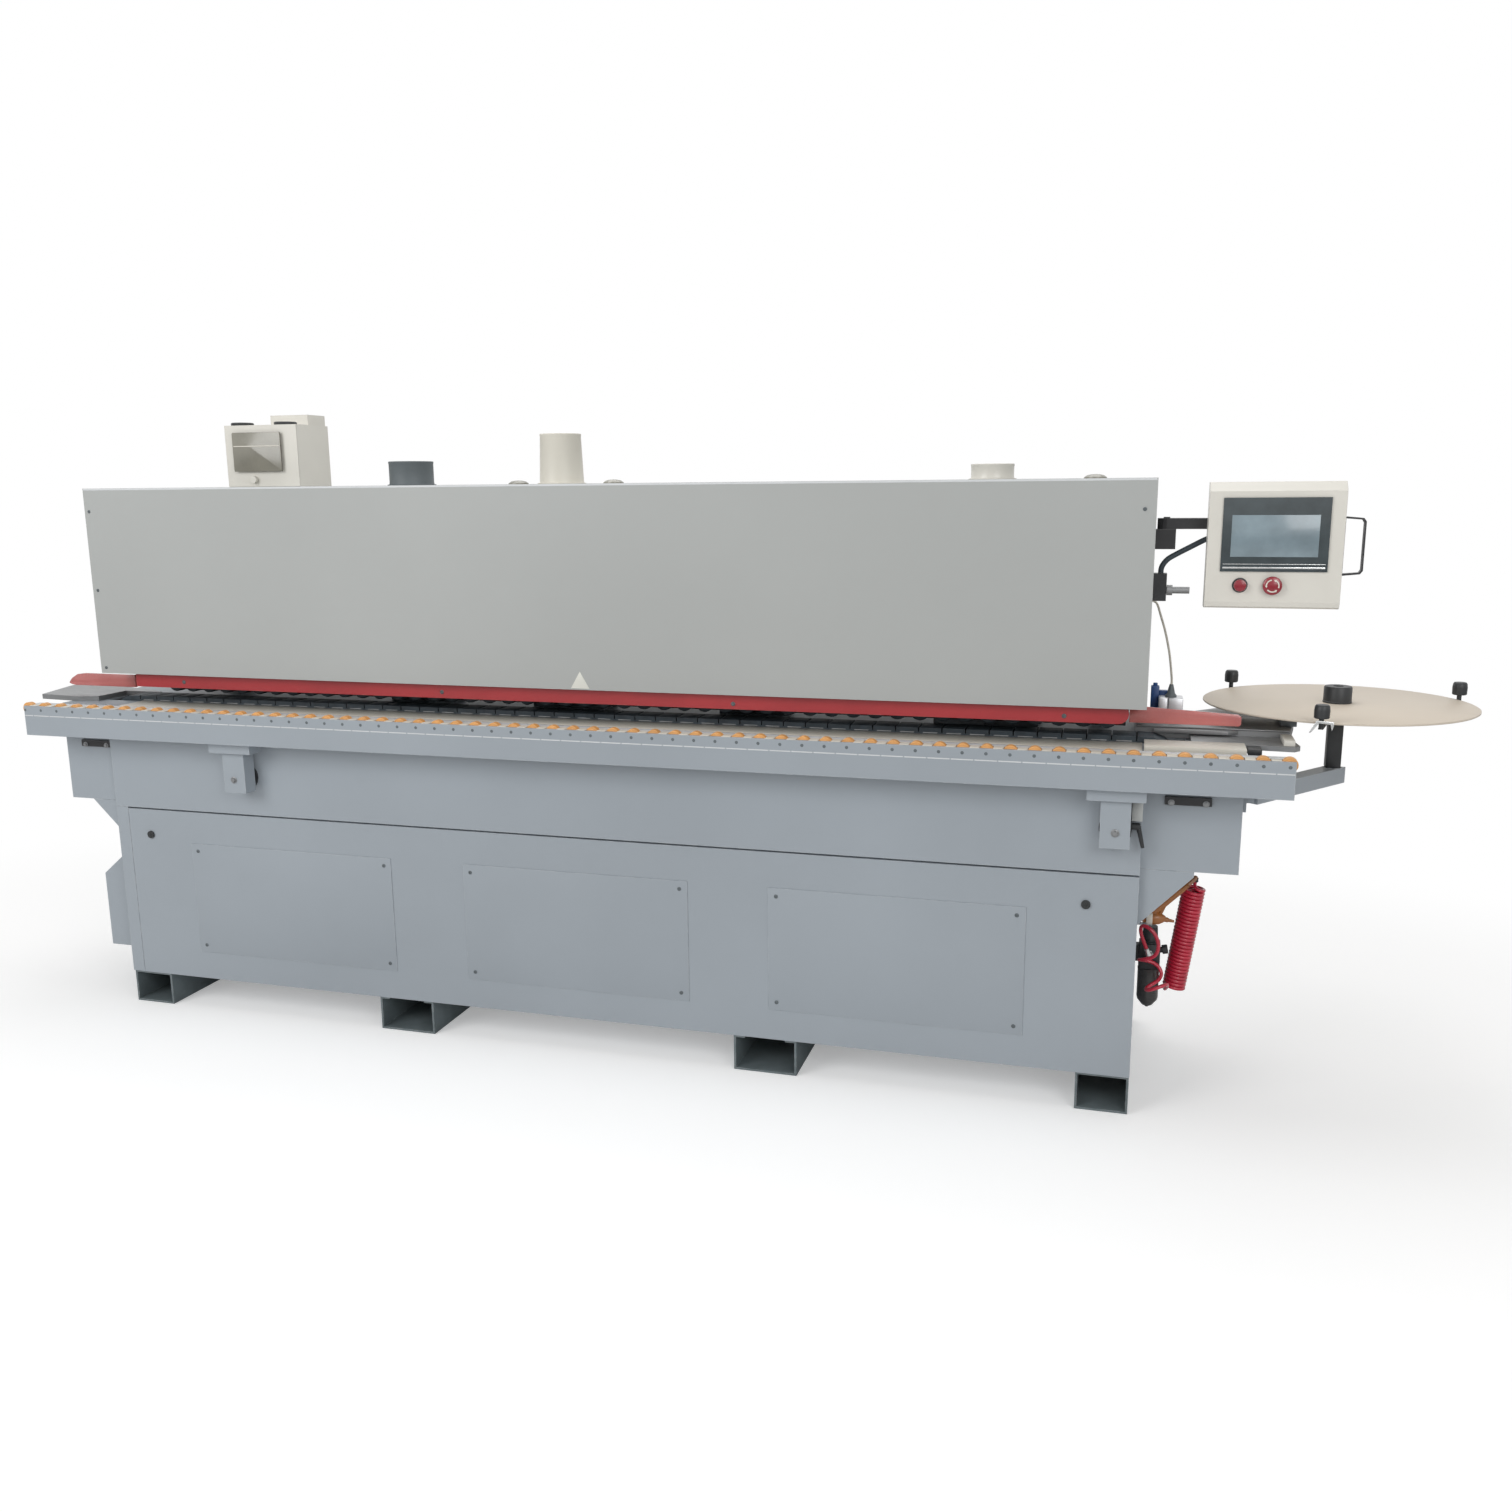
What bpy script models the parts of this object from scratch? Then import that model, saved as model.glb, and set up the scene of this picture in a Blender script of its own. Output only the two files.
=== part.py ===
"""Automatic edge banding machine: a long base beam on a cabinet, a pull-out roller rail, a pad
conveyor under a row of pressure wheels, a hood over the working units, an operator panel on an
arm and a round tray for the coil of edging.

Metres, +Z up. X runs along the feed direction, -Y faces the operator. Everything is laid out
from the middle roller of the rail (X = 0), the rail's front face (Y = 0) and the floor (Z = 0).
The last function moves the whole machine so that its origin is at the middle of its base.
"""

import math

import bmesh
import bpy
from mathutils import Matrix, Vector

# ---------------------------------------------------------------- driving dimensions
GAP = 0.0004  # left between pieces that touch
OVERSHOOT = 0.020  # how far a cutter runs past the face that it cuts through

WORK_Z = 1.007  # height of the board's underside: tops of rollers and pads

ROLLER_RADIUS = 0.019
ROLLER_PITCH = 0.060
ROLLER_COUNT = 63
ROLLER_WIDTH = 0.024
ROLLER_SPINE = 0.010  # top of the bar between the rollers, below their axles
RAIL_MARGIN_LEFT = 0.004  # rail length past the last roller's axle
RAIL_MARGIN_RIGHT = 0.0135
RAIL_DEPTH = 0.065
RAIL_HEIGHT = 0.093
RAIL_LIP = 0.010  # rail's front lip above the roller axles
RAIL_WALL = 0.004
ROLLER_FRONT = 0.009  # the rollers' front face behind the rail's front face
ROLLER_CLEARANCE = 0.001  # between the rollers and the channel's walls

PANEL_Y = 0.100  # front plane of the front panel, the fascia and the hood
PANEL_LEFT = -1.642
PANEL_RIGHT = 1.529
PANEL_FOLD = 0.018  # depth of the folded edges
PANEL_SHEET = 0.002
PANEL_BOTTOM = 0.106
PANEL_SEAM = 0.6615
PANEL_INSET = 0.045  # width of the flush frame strip left of the front panel
FASCIA_TOP = 0.900
SEAM_GAP = 0.005
PANEL_SIDE_GAP = 0.001  # between the front panel and the frame strip

FRAME_BACK = 0.700
BEAM_LEFT = -1.827
BEAM_RIGHT = 1.769
BEAM_BOTTOM = 0.678
BEAM_TOP = 0.991
BEAM_WALL = 0.006
CABINET_WALL = 0.003
FLARE_LEFT = (0.1035, 0.104)  # how far the cabinet flares out under the beam, and how high
FLARE_RIGHT = (0.1335, 0.139)
FLARE_LIP = 0.013  # upright edge at the top of the right flare

FOOT_SPANS = ((-1.640, -1.499), (-0.723, -0.539), (0.430, 0.616), (1.389, 1.528))
FOOT_WALL = 0.006
FOOT_BACK = 0.780
FOOT_SLOT = 0.120  # slot along the top of the two middle feet

SIDE_BOX = (-1.762, 0.150, 0.170)  # outer left, front and bottom of the side box
SIDE_BOX_BACK = 0.460
SIDE_BOX_SHOULDER = 0.4165
SIDE_BOX_TOP = 0.515

BRACKET_XS = (-1.138, 1.463)
BRACKET_TOP_WIDTH = 0.145
BRACKET_TOP_HEIGHT = 0.032
BRACKET_PLATE_WIDTH = 0.075
BRACKET_PLATE_BOTTOM = 0.747
BRACKET_FRONT = 0.040
BRACKET_SHEET = 0.005
GUIDE_BAR_RADIUS = 0.016
GUIDE_BAR_Z = 0.788
GUIDE_BAR_END = 0.480
BUSH_CLEARANCE = 0.0005
BUSH_RADIUS = 0.0235
BUSH_FLANGE_RADIUS = 0.041
BUSH_FLANGE = 0.008
BUSH_END = 0.200

PAD_FRONT = 0.213
PAD_WIDTH = 0.080
PAD_PITCH = 0.0635
PAD_HEIGHT = 0.022  # pad face above the chain's pitch line
CHAIN_INSIDE = 0.006  # chain below its pitch line
SPROCKET_PITCH_RADIUS = 0.065
TRACK_LEFT = -1.720
TRACK_RIGHT = 1.620
PAD_GROOVE = (0.0035, 0.012)
SLOT_MARGIN = 0.009

WHEEL_RADIUS = 0.030
WHEEL_PITCH = 0.062
WHEEL_WIDTH = 0.032
BOARD_SPACE = 0.015  # under the pressure wheels at the lowest setting
STRIP_LEFT = -1.540
STRIP_RIGHT = 1.484
STRIP_Y = 0.128
STRIP_THICK = 0.006
STRIP_BOTTOM = 1.052
STRIP_HEIGHT = 0.052

HOOD_LEFT = -1.643
HOOD_RIGHT = 1.526
HOOD_BACK = 0.740
HOOD_BOTTOM = 1.0955
HOOD_TOP = 1.666
HOOD_SHEET = 0.002

POST_XS = (-1.500, 1.400)
POST_Y = (0.550, 0.620)
POST_WIDTH = 0.060

SPINDLE_Y = 0.200
SPINDLE_Z = 1.388
SPINDLE_RADIUS = 0.0085
INDICATOR_TOP = 0.042  # above the spindle's axis

ARM_Y = 0.200
ARM_PIVOT_X = 1.552
ARM_END_X = 1.800
ARM_Z = (1.5405, 1.567)
ARM_PIN_RADIUS = 0.008
HMI_X = (1.647, 1.953)
HMI_Z = (1.353, 1.654)
HMI_DEPTH = 0.070
LUG_WIDTH = 0.040
LUG_HEIGHT = 0.050

TRAY_X = 2.023
TRAY_Y = 0.518
TRAY_Z = 1.068
TRAY_RADIUS = 0.345

FENCE_TOP = 1.018
PLATE_FRONT = PAD_FRONT + PAD_WIDTH + 0.004

COIL_TOP = (1.677, 0.330, 0.590)
COIL_BOTTOM = (1.637, 0.330, 0.290)
COIL_RADIUS = 0.029
HOSE_RADIUS = 0.005
GUN_HEAD = (1.558, 0.285, 0.496)
GUN_HEAD_RADIUS = 0.015
PEG_RADIUS = 0.004
PEG_REACH = 0.012  # past the middle of the gun's head

ROLLER_Z = WORK_Z - ROLLER_RADIUS
RAIL_TOP = ROLLER_Z + RAIL_LIP
RAIL_BOTTOM = RAIL_TOP - RAIL_HEIGHT
FRAME_FRONT = PANEL_Y + PANEL_FOLD + GAP
PAD_BACK = PAD_FRONT + PAD_WIDTH
PAD_MIDDLE = PAD_FRONT + PAD_WIDTH / 2
TRACK_RADIUS = SPROCKET_PITCH_RADIUS + PAD_HEIGHT
TRACK_Z = WORK_Z - TRACK_RADIUS
CHAIN_RADIUS = SPROCKET_PITCH_RADIUS - CHAIN_INSIDE
SPROCKET_LEFT = TRACK_LEFT + TRACK_RADIUS
SPROCKET_RIGHT = TRACK_RIGHT - TRACK_RADIUS
WHEEL_Z = WORK_Z + BOARD_SPACE + WHEEL_RADIUS


# ---------------------------------------------------------------- modelling helpers
def material(name, colour, roughness, metallic=0.0, alpha=1.0):
    """One Principled material; shared by name."""
    found = bpy.data.materials.get(name)
    if found:
        return found
    made = bpy.data.materials.new(name)
    made.use_nodes = True
    shader = made.node_tree.nodes["Principled BSDF"]
    shader.inputs["Base Color"].default_value = (*colour, 1.0)
    shader.inputs["Roughness"].default_value = roughness
    shader.inputs["Metallic"].default_value = metallic
    shader.inputs["Alpha"].default_value = alpha
    return made


CABINET_PAINT = material("cabinet_paint", (0.37, 0.42, 0.46), 0.45)
HOOD_PAINT = material("hood_paint", (0.46, 0.48, 0.47), 0.45)
FOOT_PAINT = material("foot_paint", (0.16, 0.20, 0.22), 0.6)
CREAM_PAINT = material("cream_paint", (0.75, 0.71, 0.64), 0.4)
ORANGE = material("orange_plastic", (0.85, 0.42, 0.12), 0.4)
BLACK_RUBBER = material("black_rubber", (0.02, 0.025, 0.03), 0.7)
BLACK_PAINT = material("black_paint", (0.02, 0.02, 0.022), 0.45)
BLACK_PLASTIC = material("black_plastic", (0.025, 0.025, 0.025), 0.5)
STEEL = material("steel", (0.55, 0.55, 0.55), 0.35, 1.0)
ALUMINIUM = material("aluminium", (0.75, 0.76, 0.78), 0.35, 1.0)
CAST_IRON = material("cast_iron", (0.12, 0.13, 0.14), 0.6, 0.5)
RED_PAINT = material("red_paint", (0.42, 0.03, 0.03), 0.4)
RED_PLASTIC = material("red_plastic", (0.45, 0.01, 0.02), 0.3)
RED_HOSE = material("red_hose", (0.62, 0.02, 0.05), 0.3)
TRAY_BOARD = material("tray_board", (0.68, 0.58, 0.47), 0.5)
GREY_PLASTIC = material("grey_plastic", (0.16, 0.18, 0.20), 0.5)
WHITE_PLASTIC = material("white_plastic", (0.80, 0.80, 0.76), 0.4)
SCREEN_GLASS = material("screen_glass", (0.05, 0.08, 0.09), 0.1)
GUN_PLASTIC = material("gun_plastic", (0.45, 0.20, 0.06), 0.4)


def new_object(name, mesh_or_curve, surface, parent=None):
    """Links an object, gives it its material and, under an empty, keeps its place in the world."""
    made = bpy.data.objects.new(name, mesh_or_curve)
    bpy.context.scene.collection.objects.link(made)
    if surface:
        mesh_or_curve.materials.append(surface)
    if parent:
        made.parent = parent
        made.matrix_parent_inverse = Matrix.Translation(-parent.location)
    return made


def mesh_object(name, shape, surface, parent=None):
    """Turns a bmesh into an object with outward faces, smooth where it is round."""
    bmesh.ops.recalc_face_normals(shape, faces=shape.faces)
    mesh = bpy.data.meshes.new(name)
    shape.to_mesh(mesh)
    shape.free()
    mesh.shade_smooth()
    mesh.set_sharp_from_angle(angle=math.radians(35))
    return new_object(name, mesh, surface, parent)


def box_shape(low, high):
    """A closed box between two corners."""
    shape = bmesh.new()
    size = [b - a for a, b in zip(low, high)]
    middle = [(a + b) / 2 for a, b in zip(low, high)]
    place = Matrix.Translation(middle) @ Matrix.Diagonal((*size, 1.0))
    bmesh.ops.create_cube(shape, size=1.0, matrix=place)
    return shape


def outline_shape(points, axis, low, high):
    """An outline drawn in the plane across an axis, extruded along it. Y keeps (x, z) pairs,
    Z keeps (x, y) pairs and X keeps (y, z) pairs."""

    def placed(point, level):
        first, second = point
        if axis == "X":
            return (level, first, second)
        if axis == "Y":
            return (first, level, second)
        return (first, second, level)

    shape = bmesh.new()
    face = shape.faces.new([shape.verts.new(placed(p, low)) for p in points])
    grown = bmesh.ops.extrude_face_region(shape, geom=[face])
    moved = [v for v in grown["geom"] if isinstance(v, bmesh.types.BMVert)]
    step = Vector(placed((0, 0), high)) - Vector(placed((0, 0), low))
    bmesh.ops.translate(shape, verts=moved, vec=step)
    return shape


def rod_shape(start, end, radius, sides=16, end_radius=None):
    """A round bar, or a cone, between two points."""
    start, end = Vector(start), Vector(end)
    along = end - start
    turn = along.to_track_quat("Z", "Y").to_matrix().to_4x4()
    shape = bmesh.new()
    bmesh.ops.create_cone(
        shape,
        cap_ends=True,
        segments=sides,
        radius1=radius,
        radius2=radius if end_radius is None else end_radius,
        depth=along.length,
        matrix=Matrix.Translation((start + end) / 2) @ turn,
    )
    return shape


def helper(shape, target):
    """A hidden solid that only cuts or joins, and moves with its target."""
    made = mesh_object("helper", shape, None)
    made.parent = target
    made.hide_render = True
    made.display_type = "WIRE"
    return made


def boolean(target, shape, operation):
    step = target.modifiers.new(operation.lower(), "BOOLEAN")
    step.operation = operation
    step.solver = "EXACT"
    step.object = helper(shape, target)


def cut(target, *shapes):
    for shape in shapes:
        boolean(target, shape, "DIFFERENCE")


def add(target, *shapes):
    for shape in shapes:
        boolean(target, shape, "UNION")


def box(name, low, high, surface, parent=None):
    return mesh_object(name, box_shape(low, high), surface, parent)


def pivot(name, place, parent=None):
    """An empty on a joint's axis; what moves with the joint hangs under it."""
    made = bpy.data.objects.new(name, None)
    made.empty_display_size = 0.05
    bpy.context.scene.collection.objects.link(made)
    made.location = place
    if parent:
        made.parent = parent
        made.matrix_parent_inverse = Matrix.Translation(-parent.location)
    return made


def arc(centre, radius, start, end, steps):
    """Points of a round stretch, from one angle to another in degrees."""
    turns = [math.radians(start + (end - start) * i / steps) for i in range(steps + 1)]
    return [(centre[0] + radius * math.cos(a), centre[1] + radius * math.sin(a)) for a in turns]


def smooth_route(points, steps):
    """Points of a smooth curve through a route's own points."""
    points = [Vector(p) for p in points]
    ends = [points[0] * 2 - points[1], *points, points[-1] * 2 - points[-2]]
    found = []
    for index in range(1, len(ends) - 2):
        a, b, c, d = ends[index - 1 : index + 3]
        for step in range(steps):
            t = step / steps
            bend = (2 * a - 5 * b + 4 * c - d) * t**2 + (3 * b - a - 3 * c + d) * t**3
            found.append(b + ((c - a) * t + bend) / 2)
    return found + [points[-1]]


def tube(name, route, radius, steps, surface, parent):
    """A round tube along a smooth curve through the route's points."""
    line = smooth_route(route, steps)
    curve = bpy.data.curves.new(name, "CURVE")
    curve.dimensions = "3D"
    curve.bevel_depth = radius
    curve.bevel_resolution = 2
    curve.use_fill_caps = True
    spline = curve.splines.new("POLY")
    spline.points.add(len(line) - 1)
    for point, place in zip(spline.points, line):
        point.co = (*place, 1.0)
    return new_object(name, curve, surface, parent)


# ---------------------------------------------------------------- base
def base_beam(root):
    """Welded box beam, open along the top for the conveyor."""
    beam = box(
        "base_beam",
        (BEAM_LEFT, FRAME_FRONT, BEAM_BOTTOM),
        (BEAM_RIGHT, FRAME_BACK, BEAM_TOP),
        CABINET_PAINT,
        root,
    )
    cut(
        beam,
        box_shape(
            (BEAM_LEFT + BEAM_WALL, FRAME_FRONT + BEAM_WALL, BEAM_BOTTOM + BEAM_WALL),
            (BEAM_RIGHT - BEAM_WALL, FRAME_BACK - BEAM_WALL, BEAM_TOP - BEAM_WALL),
        ),
        box_shape(
            (TRACK_LEFT - SLOT_MARGIN, PAD_FRONT - SLOT_MARGIN, TRACK_Z),
            (TRACK_RIGHT + SLOT_MARGIN, PAD_BACK + SLOT_MARGIN, BEAM_TOP + 0.02),
        ),
        *[bush_hole(x) for x in BRACKET_XS],
    )
    return beam


def bush_hole(x):
    """Clears a guide bush through the fascia and the beam's front wall."""
    start = (x, PANEL_Y - 0.02, GUIDE_BAR_Z)
    return rod_shape(start, (x, FRAME_FRONT + 0.03, GUIDE_BAR_Z), BUSH_RADIUS + GAP, 24)


def cabinet_outline(inset):
    """Front view of the cabinet: straight sides that flare out under the beam."""
    left, right = PANEL_LEFT + inset, PANEL_RIGHT - inset
    top = BEAM_BOTTOM - GAP - inset
    return [
        (left, PANEL_BOTTOM + inset),
        (right, PANEL_BOTTOM + inset),
        (right, top - FLARE_LIP - FLARE_RIGHT[1]),
        (right + FLARE_RIGHT[0], top - FLARE_LIP),
        (right + FLARE_RIGHT[0], top),
        (left - FLARE_LEFT[0], top),
        (left, top - FLARE_LEFT[1]),
    ]


def cabinet_shell(root):
    """Sheet cabinet under the beam, with the opening that the front panel closes."""
    left, right, below, above = OPENING_MARGINS
    shell = mesh_object(
        "cabinet_shell",
        outline_shape(cabinet_outline(0.0), "Y", FRAME_FRONT, FRAME_BACK),
        CABINET_PAINT,
        root,
    )
    cut(
        shell,
        outline_shape(
            cabinet_outline(CABINET_WALL),
            "Y",
            FRAME_FRONT + CABINET_WALL,
            FRAME_BACK - CABINET_WALL,
        ),
        box_shape(
            (PANEL_LEFT + left, FRAME_FRONT - 0.01, PANEL_BOTTOM + below),
            (PANEL_RIGHT - right, FRAME_FRONT + 0.01, PANEL_SEAM - above),
        ),
    )
    peg_z = GUN_HEAD[2] - GUN_HEAD_RADIUS - GAP - PEG_RADIUS
    start = (PANEL_RIGHT - CABINET_WALL / 2, GUN_HEAD[1], peg_z)
    add(
        shell,
        box_shape(
            (PANEL_LEFT, PANEL_Y, PANEL_BOTTOM),
            (
                PANEL_LEFT + PANEL_INSET - PANEL_SIDE_GAP,
                FRAME_FRONT + CABINET_WALL / 2,
                PANEL_SEAM + SEAM_GAP / 2 - GAP,
            ),
        ),
        rod_shape(start, (GUN_HEAD[0] + PEG_REACH, GUN_HEAD[1], peg_z), PEG_RADIUS, 12),
    )
    return shell


def folded_panel(name, low, high, root):
    """A sheet with its four edges folded back."""
    panel = box(name, low, high, CABINET_PAINT, root)
    cut(
        panel,
        box_shape(
            (low[0] + PANEL_SHEET, low[1] + PANEL_SHEET, low[2] + PANEL_SHEET),
            (high[0] - PANEL_SHEET, high[1] + 0.01, high[2] - PANEL_SHEET),
        ),
    )
    return panel


def upper_fascia(root):
    """Fixed sheet between the front panel and the roller rail."""
    fascia = folded_panel(
        "upper_fascia",
        (PANEL_LEFT, PANEL_Y, PANEL_SEAM + SEAM_GAP / 2),
        (PANEL_RIGHT, PANEL_Y + PANEL_FOLD, FASCIA_TOP),
        root,
    )
    cut(fascia, *[bush_hole(x) for x in BRACKET_XS])
    return fascia


LOCK_RADIUS = 0.008
LOCK_XS = (-1.517, 1.398)
LOCK_Z = 0.577
TONGUE_THICK = 0.003
TONGUE_GRIP = 0.012  # how far the tongue reaches behind the cabinet's frame
OPENING_MARGINS = (0.075, 0.040, 0.030, 0.025)  # frame left, right, below and above the opening


def front_panel(root):
    """Front panel standing on the feet, with a quarter-turn lock near each top corner."""
    hinge = pivot("front_panel_hinge", (0, PANEL_Y, PANEL_BOTTOM), root)
    panel = folded_panel(
        "front_panel",
        (PANEL_LEFT + PANEL_INSET, PANEL_Y, PANEL_BOTTOM),
        (PANEL_RIGHT, PANEL_Y + PANEL_FOLD, PANEL_SEAM - SEAM_GAP / 2),
        hinge,
    )
    for name, x in zip(("panel_lock_left", "panel_lock_right"), LOCK_XS):
        axis = pivot(name + "_axis", (x, PANEL_Y, LOCK_Z), hinge)
        start = (x, PANEL_Y - 0.01, LOCK_Z)
        cut(panel, rod_shape(start, (x, PANEL_Y + 0.01, LOCK_Z), LOCK_RADIUS + GAP))
        panel_lock(name, x, axis)
    return panel


def panel_lock(name, x, parent):
    """Lock head with the tongue that turns up behind the cabinet's frame; drawn unlocked."""
    front = FRAME_FRONT + CABINET_WALL + GAP
    reach = PANEL_SEAM - OPENING_MARGINS[3] - LOCK_Z + TONGUE_GRIP
    towards = 1 if x < 0 else -1
    lock = mesh_object(
        name,
        rod_shape((x, PANEL_Y - 0.004, LOCK_Z), (x, front + 0.001, LOCK_Z), LOCK_RADIUS),
        BLACK_PLASTIC,
        parent,
    )
    flange = rod_shape(
        (x, PANEL_Y - 0.005, LOCK_Z), (x, PANEL_Y - GAP, LOCK_Z), LOCK_RADIUS + 0.004
    )
    ends = sorted((x - towards * LOCK_RADIUS, x + towards * reach))
    tongue = box_shape(
        (ends[0], front, LOCK_Z - 0.007), (ends[1], front + TONGUE_THICK, LOCK_Z + 0.007)
    )
    add(lock, flange, tongue)
    return lock


def feet(root):
    """Four cross tubes, open at their ends, which a fork truck also lifts the machine by."""
    for number, (left, right) in enumerate(FOOT_SPANS, 1):
        foot = box(
            f"foot_{number}",
            (left, PANEL_Y + 0.004, 0.0),
            (right, FOOT_BACK, PANEL_BOTTOM - GAP),
            FOOT_PAINT,
            root,
        )
        cut(
            foot,
            box_shape(
                (left + FOOT_WALL, PANEL_Y - 0.02, FOOT_WALL),
                (right - FOOT_WALL, FOOT_BACK + 0.02, PANEL_BOTTOM - GAP - FOOT_WALL),
            ),
        )
        if number in (2, 3):
            middle = (left + right) / 2
            cut(
                foot,
                box_shape(
                    (middle - FOOT_SLOT / 2, PANEL_Y - 0.02, PANEL_BOTTOM - 0.02),
                    (middle + FOOT_SLOT / 2, FRAME_FRONT + 0.02, PANEL_BOTTOM + 0.02),
                ),
            )


def side_box(root):
    """Terminal box on the cabinet's left side, with a sloping roof."""
    left, front, bottom = SIDE_BOX
    right = PANEL_LEFT - GAP
    profile = [
        (left, bottom),
        (right, bottom),
        (right, SIDE_BOX_TOP),
        (left, SIDE_BOX_SHOULDER),
    ]
    made = mesh_object(
        "side_box", outline_shape(profile, "Y", front, SIDE_BOX_BACK), CABINET_PAINT, root
    )
    inner = [
        (left + 0.002, bottom + 0.002),
        (right + 0.02, bottom + 0.002),
        (right + 0.02, SIDE_BOX_TOP - 0.006),
        (left + 0.002, SIDE_BOX_SHOULDER - 0.002),
    ]
    cut(made, outline_shape(inner, "Y", front + 0.002, SIDE_BOX_BACK - 0.002))
    return made


# ---------------------------------------------------------------- pull-out roller rail
def support_rail(parent):
    """Rail profile: a box with the rollers' channel along its top."""
    last_axle = ROLLER_PITCH * (ROLLER_COUNT - 1) / 2
    left, right = -last_axle - RAIL_MARGIN_LEFT, last_axle + RAIL_MARGIN_RIGHT
    channel_floor = ROLLER_Z - ROLLER_RADIUS - GAP
    low, high = (left, 0, RAIL_BOTTOM), (right, RAIL_DEPTH, RAIL_TOP)
    rail = box("support_rail", low, high, CABINET_PAINT, parent)
    slot_front = ROLLER_FRONT - ROLLER_CLEARANCE
    slot_back = ROLLER_FRONT + ROLLER_WIDTH + ROLLER_CLEARANCE
    cut(
        rail,
        box_shape(
            (left - OVERSHOOT, slot_front, channel_floor),
            (right + OVERSHOOT, slot_back, RAIL_TOP + OVERSHOOT),
        ),
        box_shape(
            (left - OVERSHOOT, RAIL_WALL, RAIL_BOTTOM + RAIL_WALL),
            (right + OVERSHOOT, RAIL_DEPTH - RAIL_WALL, channel_floor - RAIL_WALL),
        ),
    )
    return rail


def roller_row(parent):
    """All the rail's rollers, joined by a low spine inside the channel."""
    first = -ROLLER_PITCH * (ROLLER_COUNT - 1) / 2
    bottom = ROLLER_Z - ROLLER_RADIUS
    low = -math.degrees(math.asin(ROLLER_SPINE / ROLLER_RADIUS))
    outline = []
    for number in range(ROLLER_COUNT):
        centre = (first + number * ROLLER_PITCH, ROLLER_Z)
        outline += arc(centre, ROLLER_RADIUS, 180 - low, low, 7)
    end = outline[-1][0]
    outline += [(end, bottom), (-end, bottom)]
    shape = outline_shape(outline, "Y", ROLLER_FRONT, ROLLER_FRONT + ROLLER_WIDTH)
    return mesh_object("roller_row", shape, ORANGE, parent)


def rail_bracket(name, x, parent):
    """Bracket under the rail: top plate, hanging plate with one folded side, and its guide bar."""
    top = RAIL_BOTTOM - GAP
    shelf = top - BRACKET_TOP_HEIGHT
    half = BRACKET_PLATE_WIDTH / 2
    side_back = PANEL_Y - BUSH_FLANGE - 0.004
    bracket = box(
        name,
        (x - BRACKET_TOP_WIDTH / 2, BRACKET_FRONT - 0.015, shelf),
        (x + BRACKET_TOP_WIDTH / 2, RAIL_DEPTH + 0.015, top),
        CABINET_PAINT,
        parent,
    )
    side_x = x + half - BRACKET_SHEET
    if x > 0:
        side_x = x - half
    add(
        bracket,
        box_shape(
            (x - half, BRACKET_FRONT, BRACKET_PLATE_BOTTOM),
            (x + half, BRACKET_FRONT + BRACKET_SHEET, shelf + 0.004),
        ),
        box_shape(
            (side_x, BRACKET_FRONT, BRACKET_PLATE_BOTTOM),
            (side_x + BRACKET_SHEET, side_back, shelf + 0.004),
        ),
        rod_shape(
            (x, BRACKET_FRONT + BRACKET_SHEET / 2, GUIDE_BAR_Z),
            (x, GUIDE_BAR_END, GUIDE_BAR_Z),
            GUIDE_BAR_RADIUS,
            20,
        ),
    )
    return bracket


def guide_bush(name, x, root):
    """Flanged bush in the beam's front wall, which the guide bar slides through."""
    bush = mesh_object(
        name,
        rod_shape(
            (x, PANEL_Y - BUSH_FLANGE, GUIDE_BAR_Z),
            (x, PANEL_Y - GAP, GUIDE_BAR_Z),
            BUSH_FLANGE_RADIUS,
            32,
        ),
        BLACK_PLASTIC,
        root,
    )
    add(bush, rod_shape((x, PANEL_Y - 0.004, GUIDE_BAR_Z), (x, BUSH_END, GUIDE_BAR_Z), BUSH_RADIUS, 24))
    if x > 0:
        add(bush, clamp_boss(x))
    bore = GUIDE_BAR_RADIUS + BUSH_CLEARANCE
    cut(bush, rod_shape((x, -0.05, GUIDE_BAR_Z), (x, BUSH_END + 0.05, GUIDE_BAR_Z), bore, 20))
    return bush


LEVER_X = BRACKET_XS[1] + 0.0395
LEVER_Y = 0.076
LEVER_Z = GUIDE_BAR_Z + 0.012
LEVER_HEAD = (0.009, 0.022)  # radius and length
LEVER_HANDLE = (0.013, 0.055)  # how far its tip leans out and hangs down
CLAMP_BOSS = 0.014  # half the boss's height


def clamp_boss(x):
    """Boss beside the right bush that the clamp lever screws into."""
    return box_shape(
        (x + GUIDE_BAR_RADIUS + 0.006, LEVER_Y - 0.012, GUIDE_BAR_Z - CLAMP_BOSS),
        (LEVER_X - GAP, PANEL_Y - GAP, LEVER_Z + CLAMP_BOSS),
    )


def clamp_lever(root):
    """Adjustable lever that clamps the right guide bar."""
    place = (LEVER_X, LEVER_Y, LEVER_Z)
    axis = pivot("clamp_lever_axis", place, root)
    radius, length = LEVER_HEAD
    head = rod_shape(place, (LEVER_X + length, LEVER_Y, LEVER_Z), radius)
    lever = mesh_object("clamp_lever", head, BLACK_PLASTIC, axis)
    knee_x = LEVER_X + length - 0.005
    tip = (knee_x + LEVER_HANDLE[0], LEVER_Y, LEVER_Z - LEVER_HANDLE[1])
    add(lever, rod_shape((knee_x, LEVER_Y, LEVER_Z), tip, 0.0065, 12, 0.0045))
    return lever


# ---------------------------------------------------------------- conveyor
def stadium(radius, steps):
    """Loop round both sprockets, clockwise from the top left."""
    right = arc((SPROCKET_RIGHT, TRACK_Z), radius, 90, -90, steps)
    left = arc((SPROCKET_LEFT, TRACK_Z), radius, 270, 90, steps)
    return right + left


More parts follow.
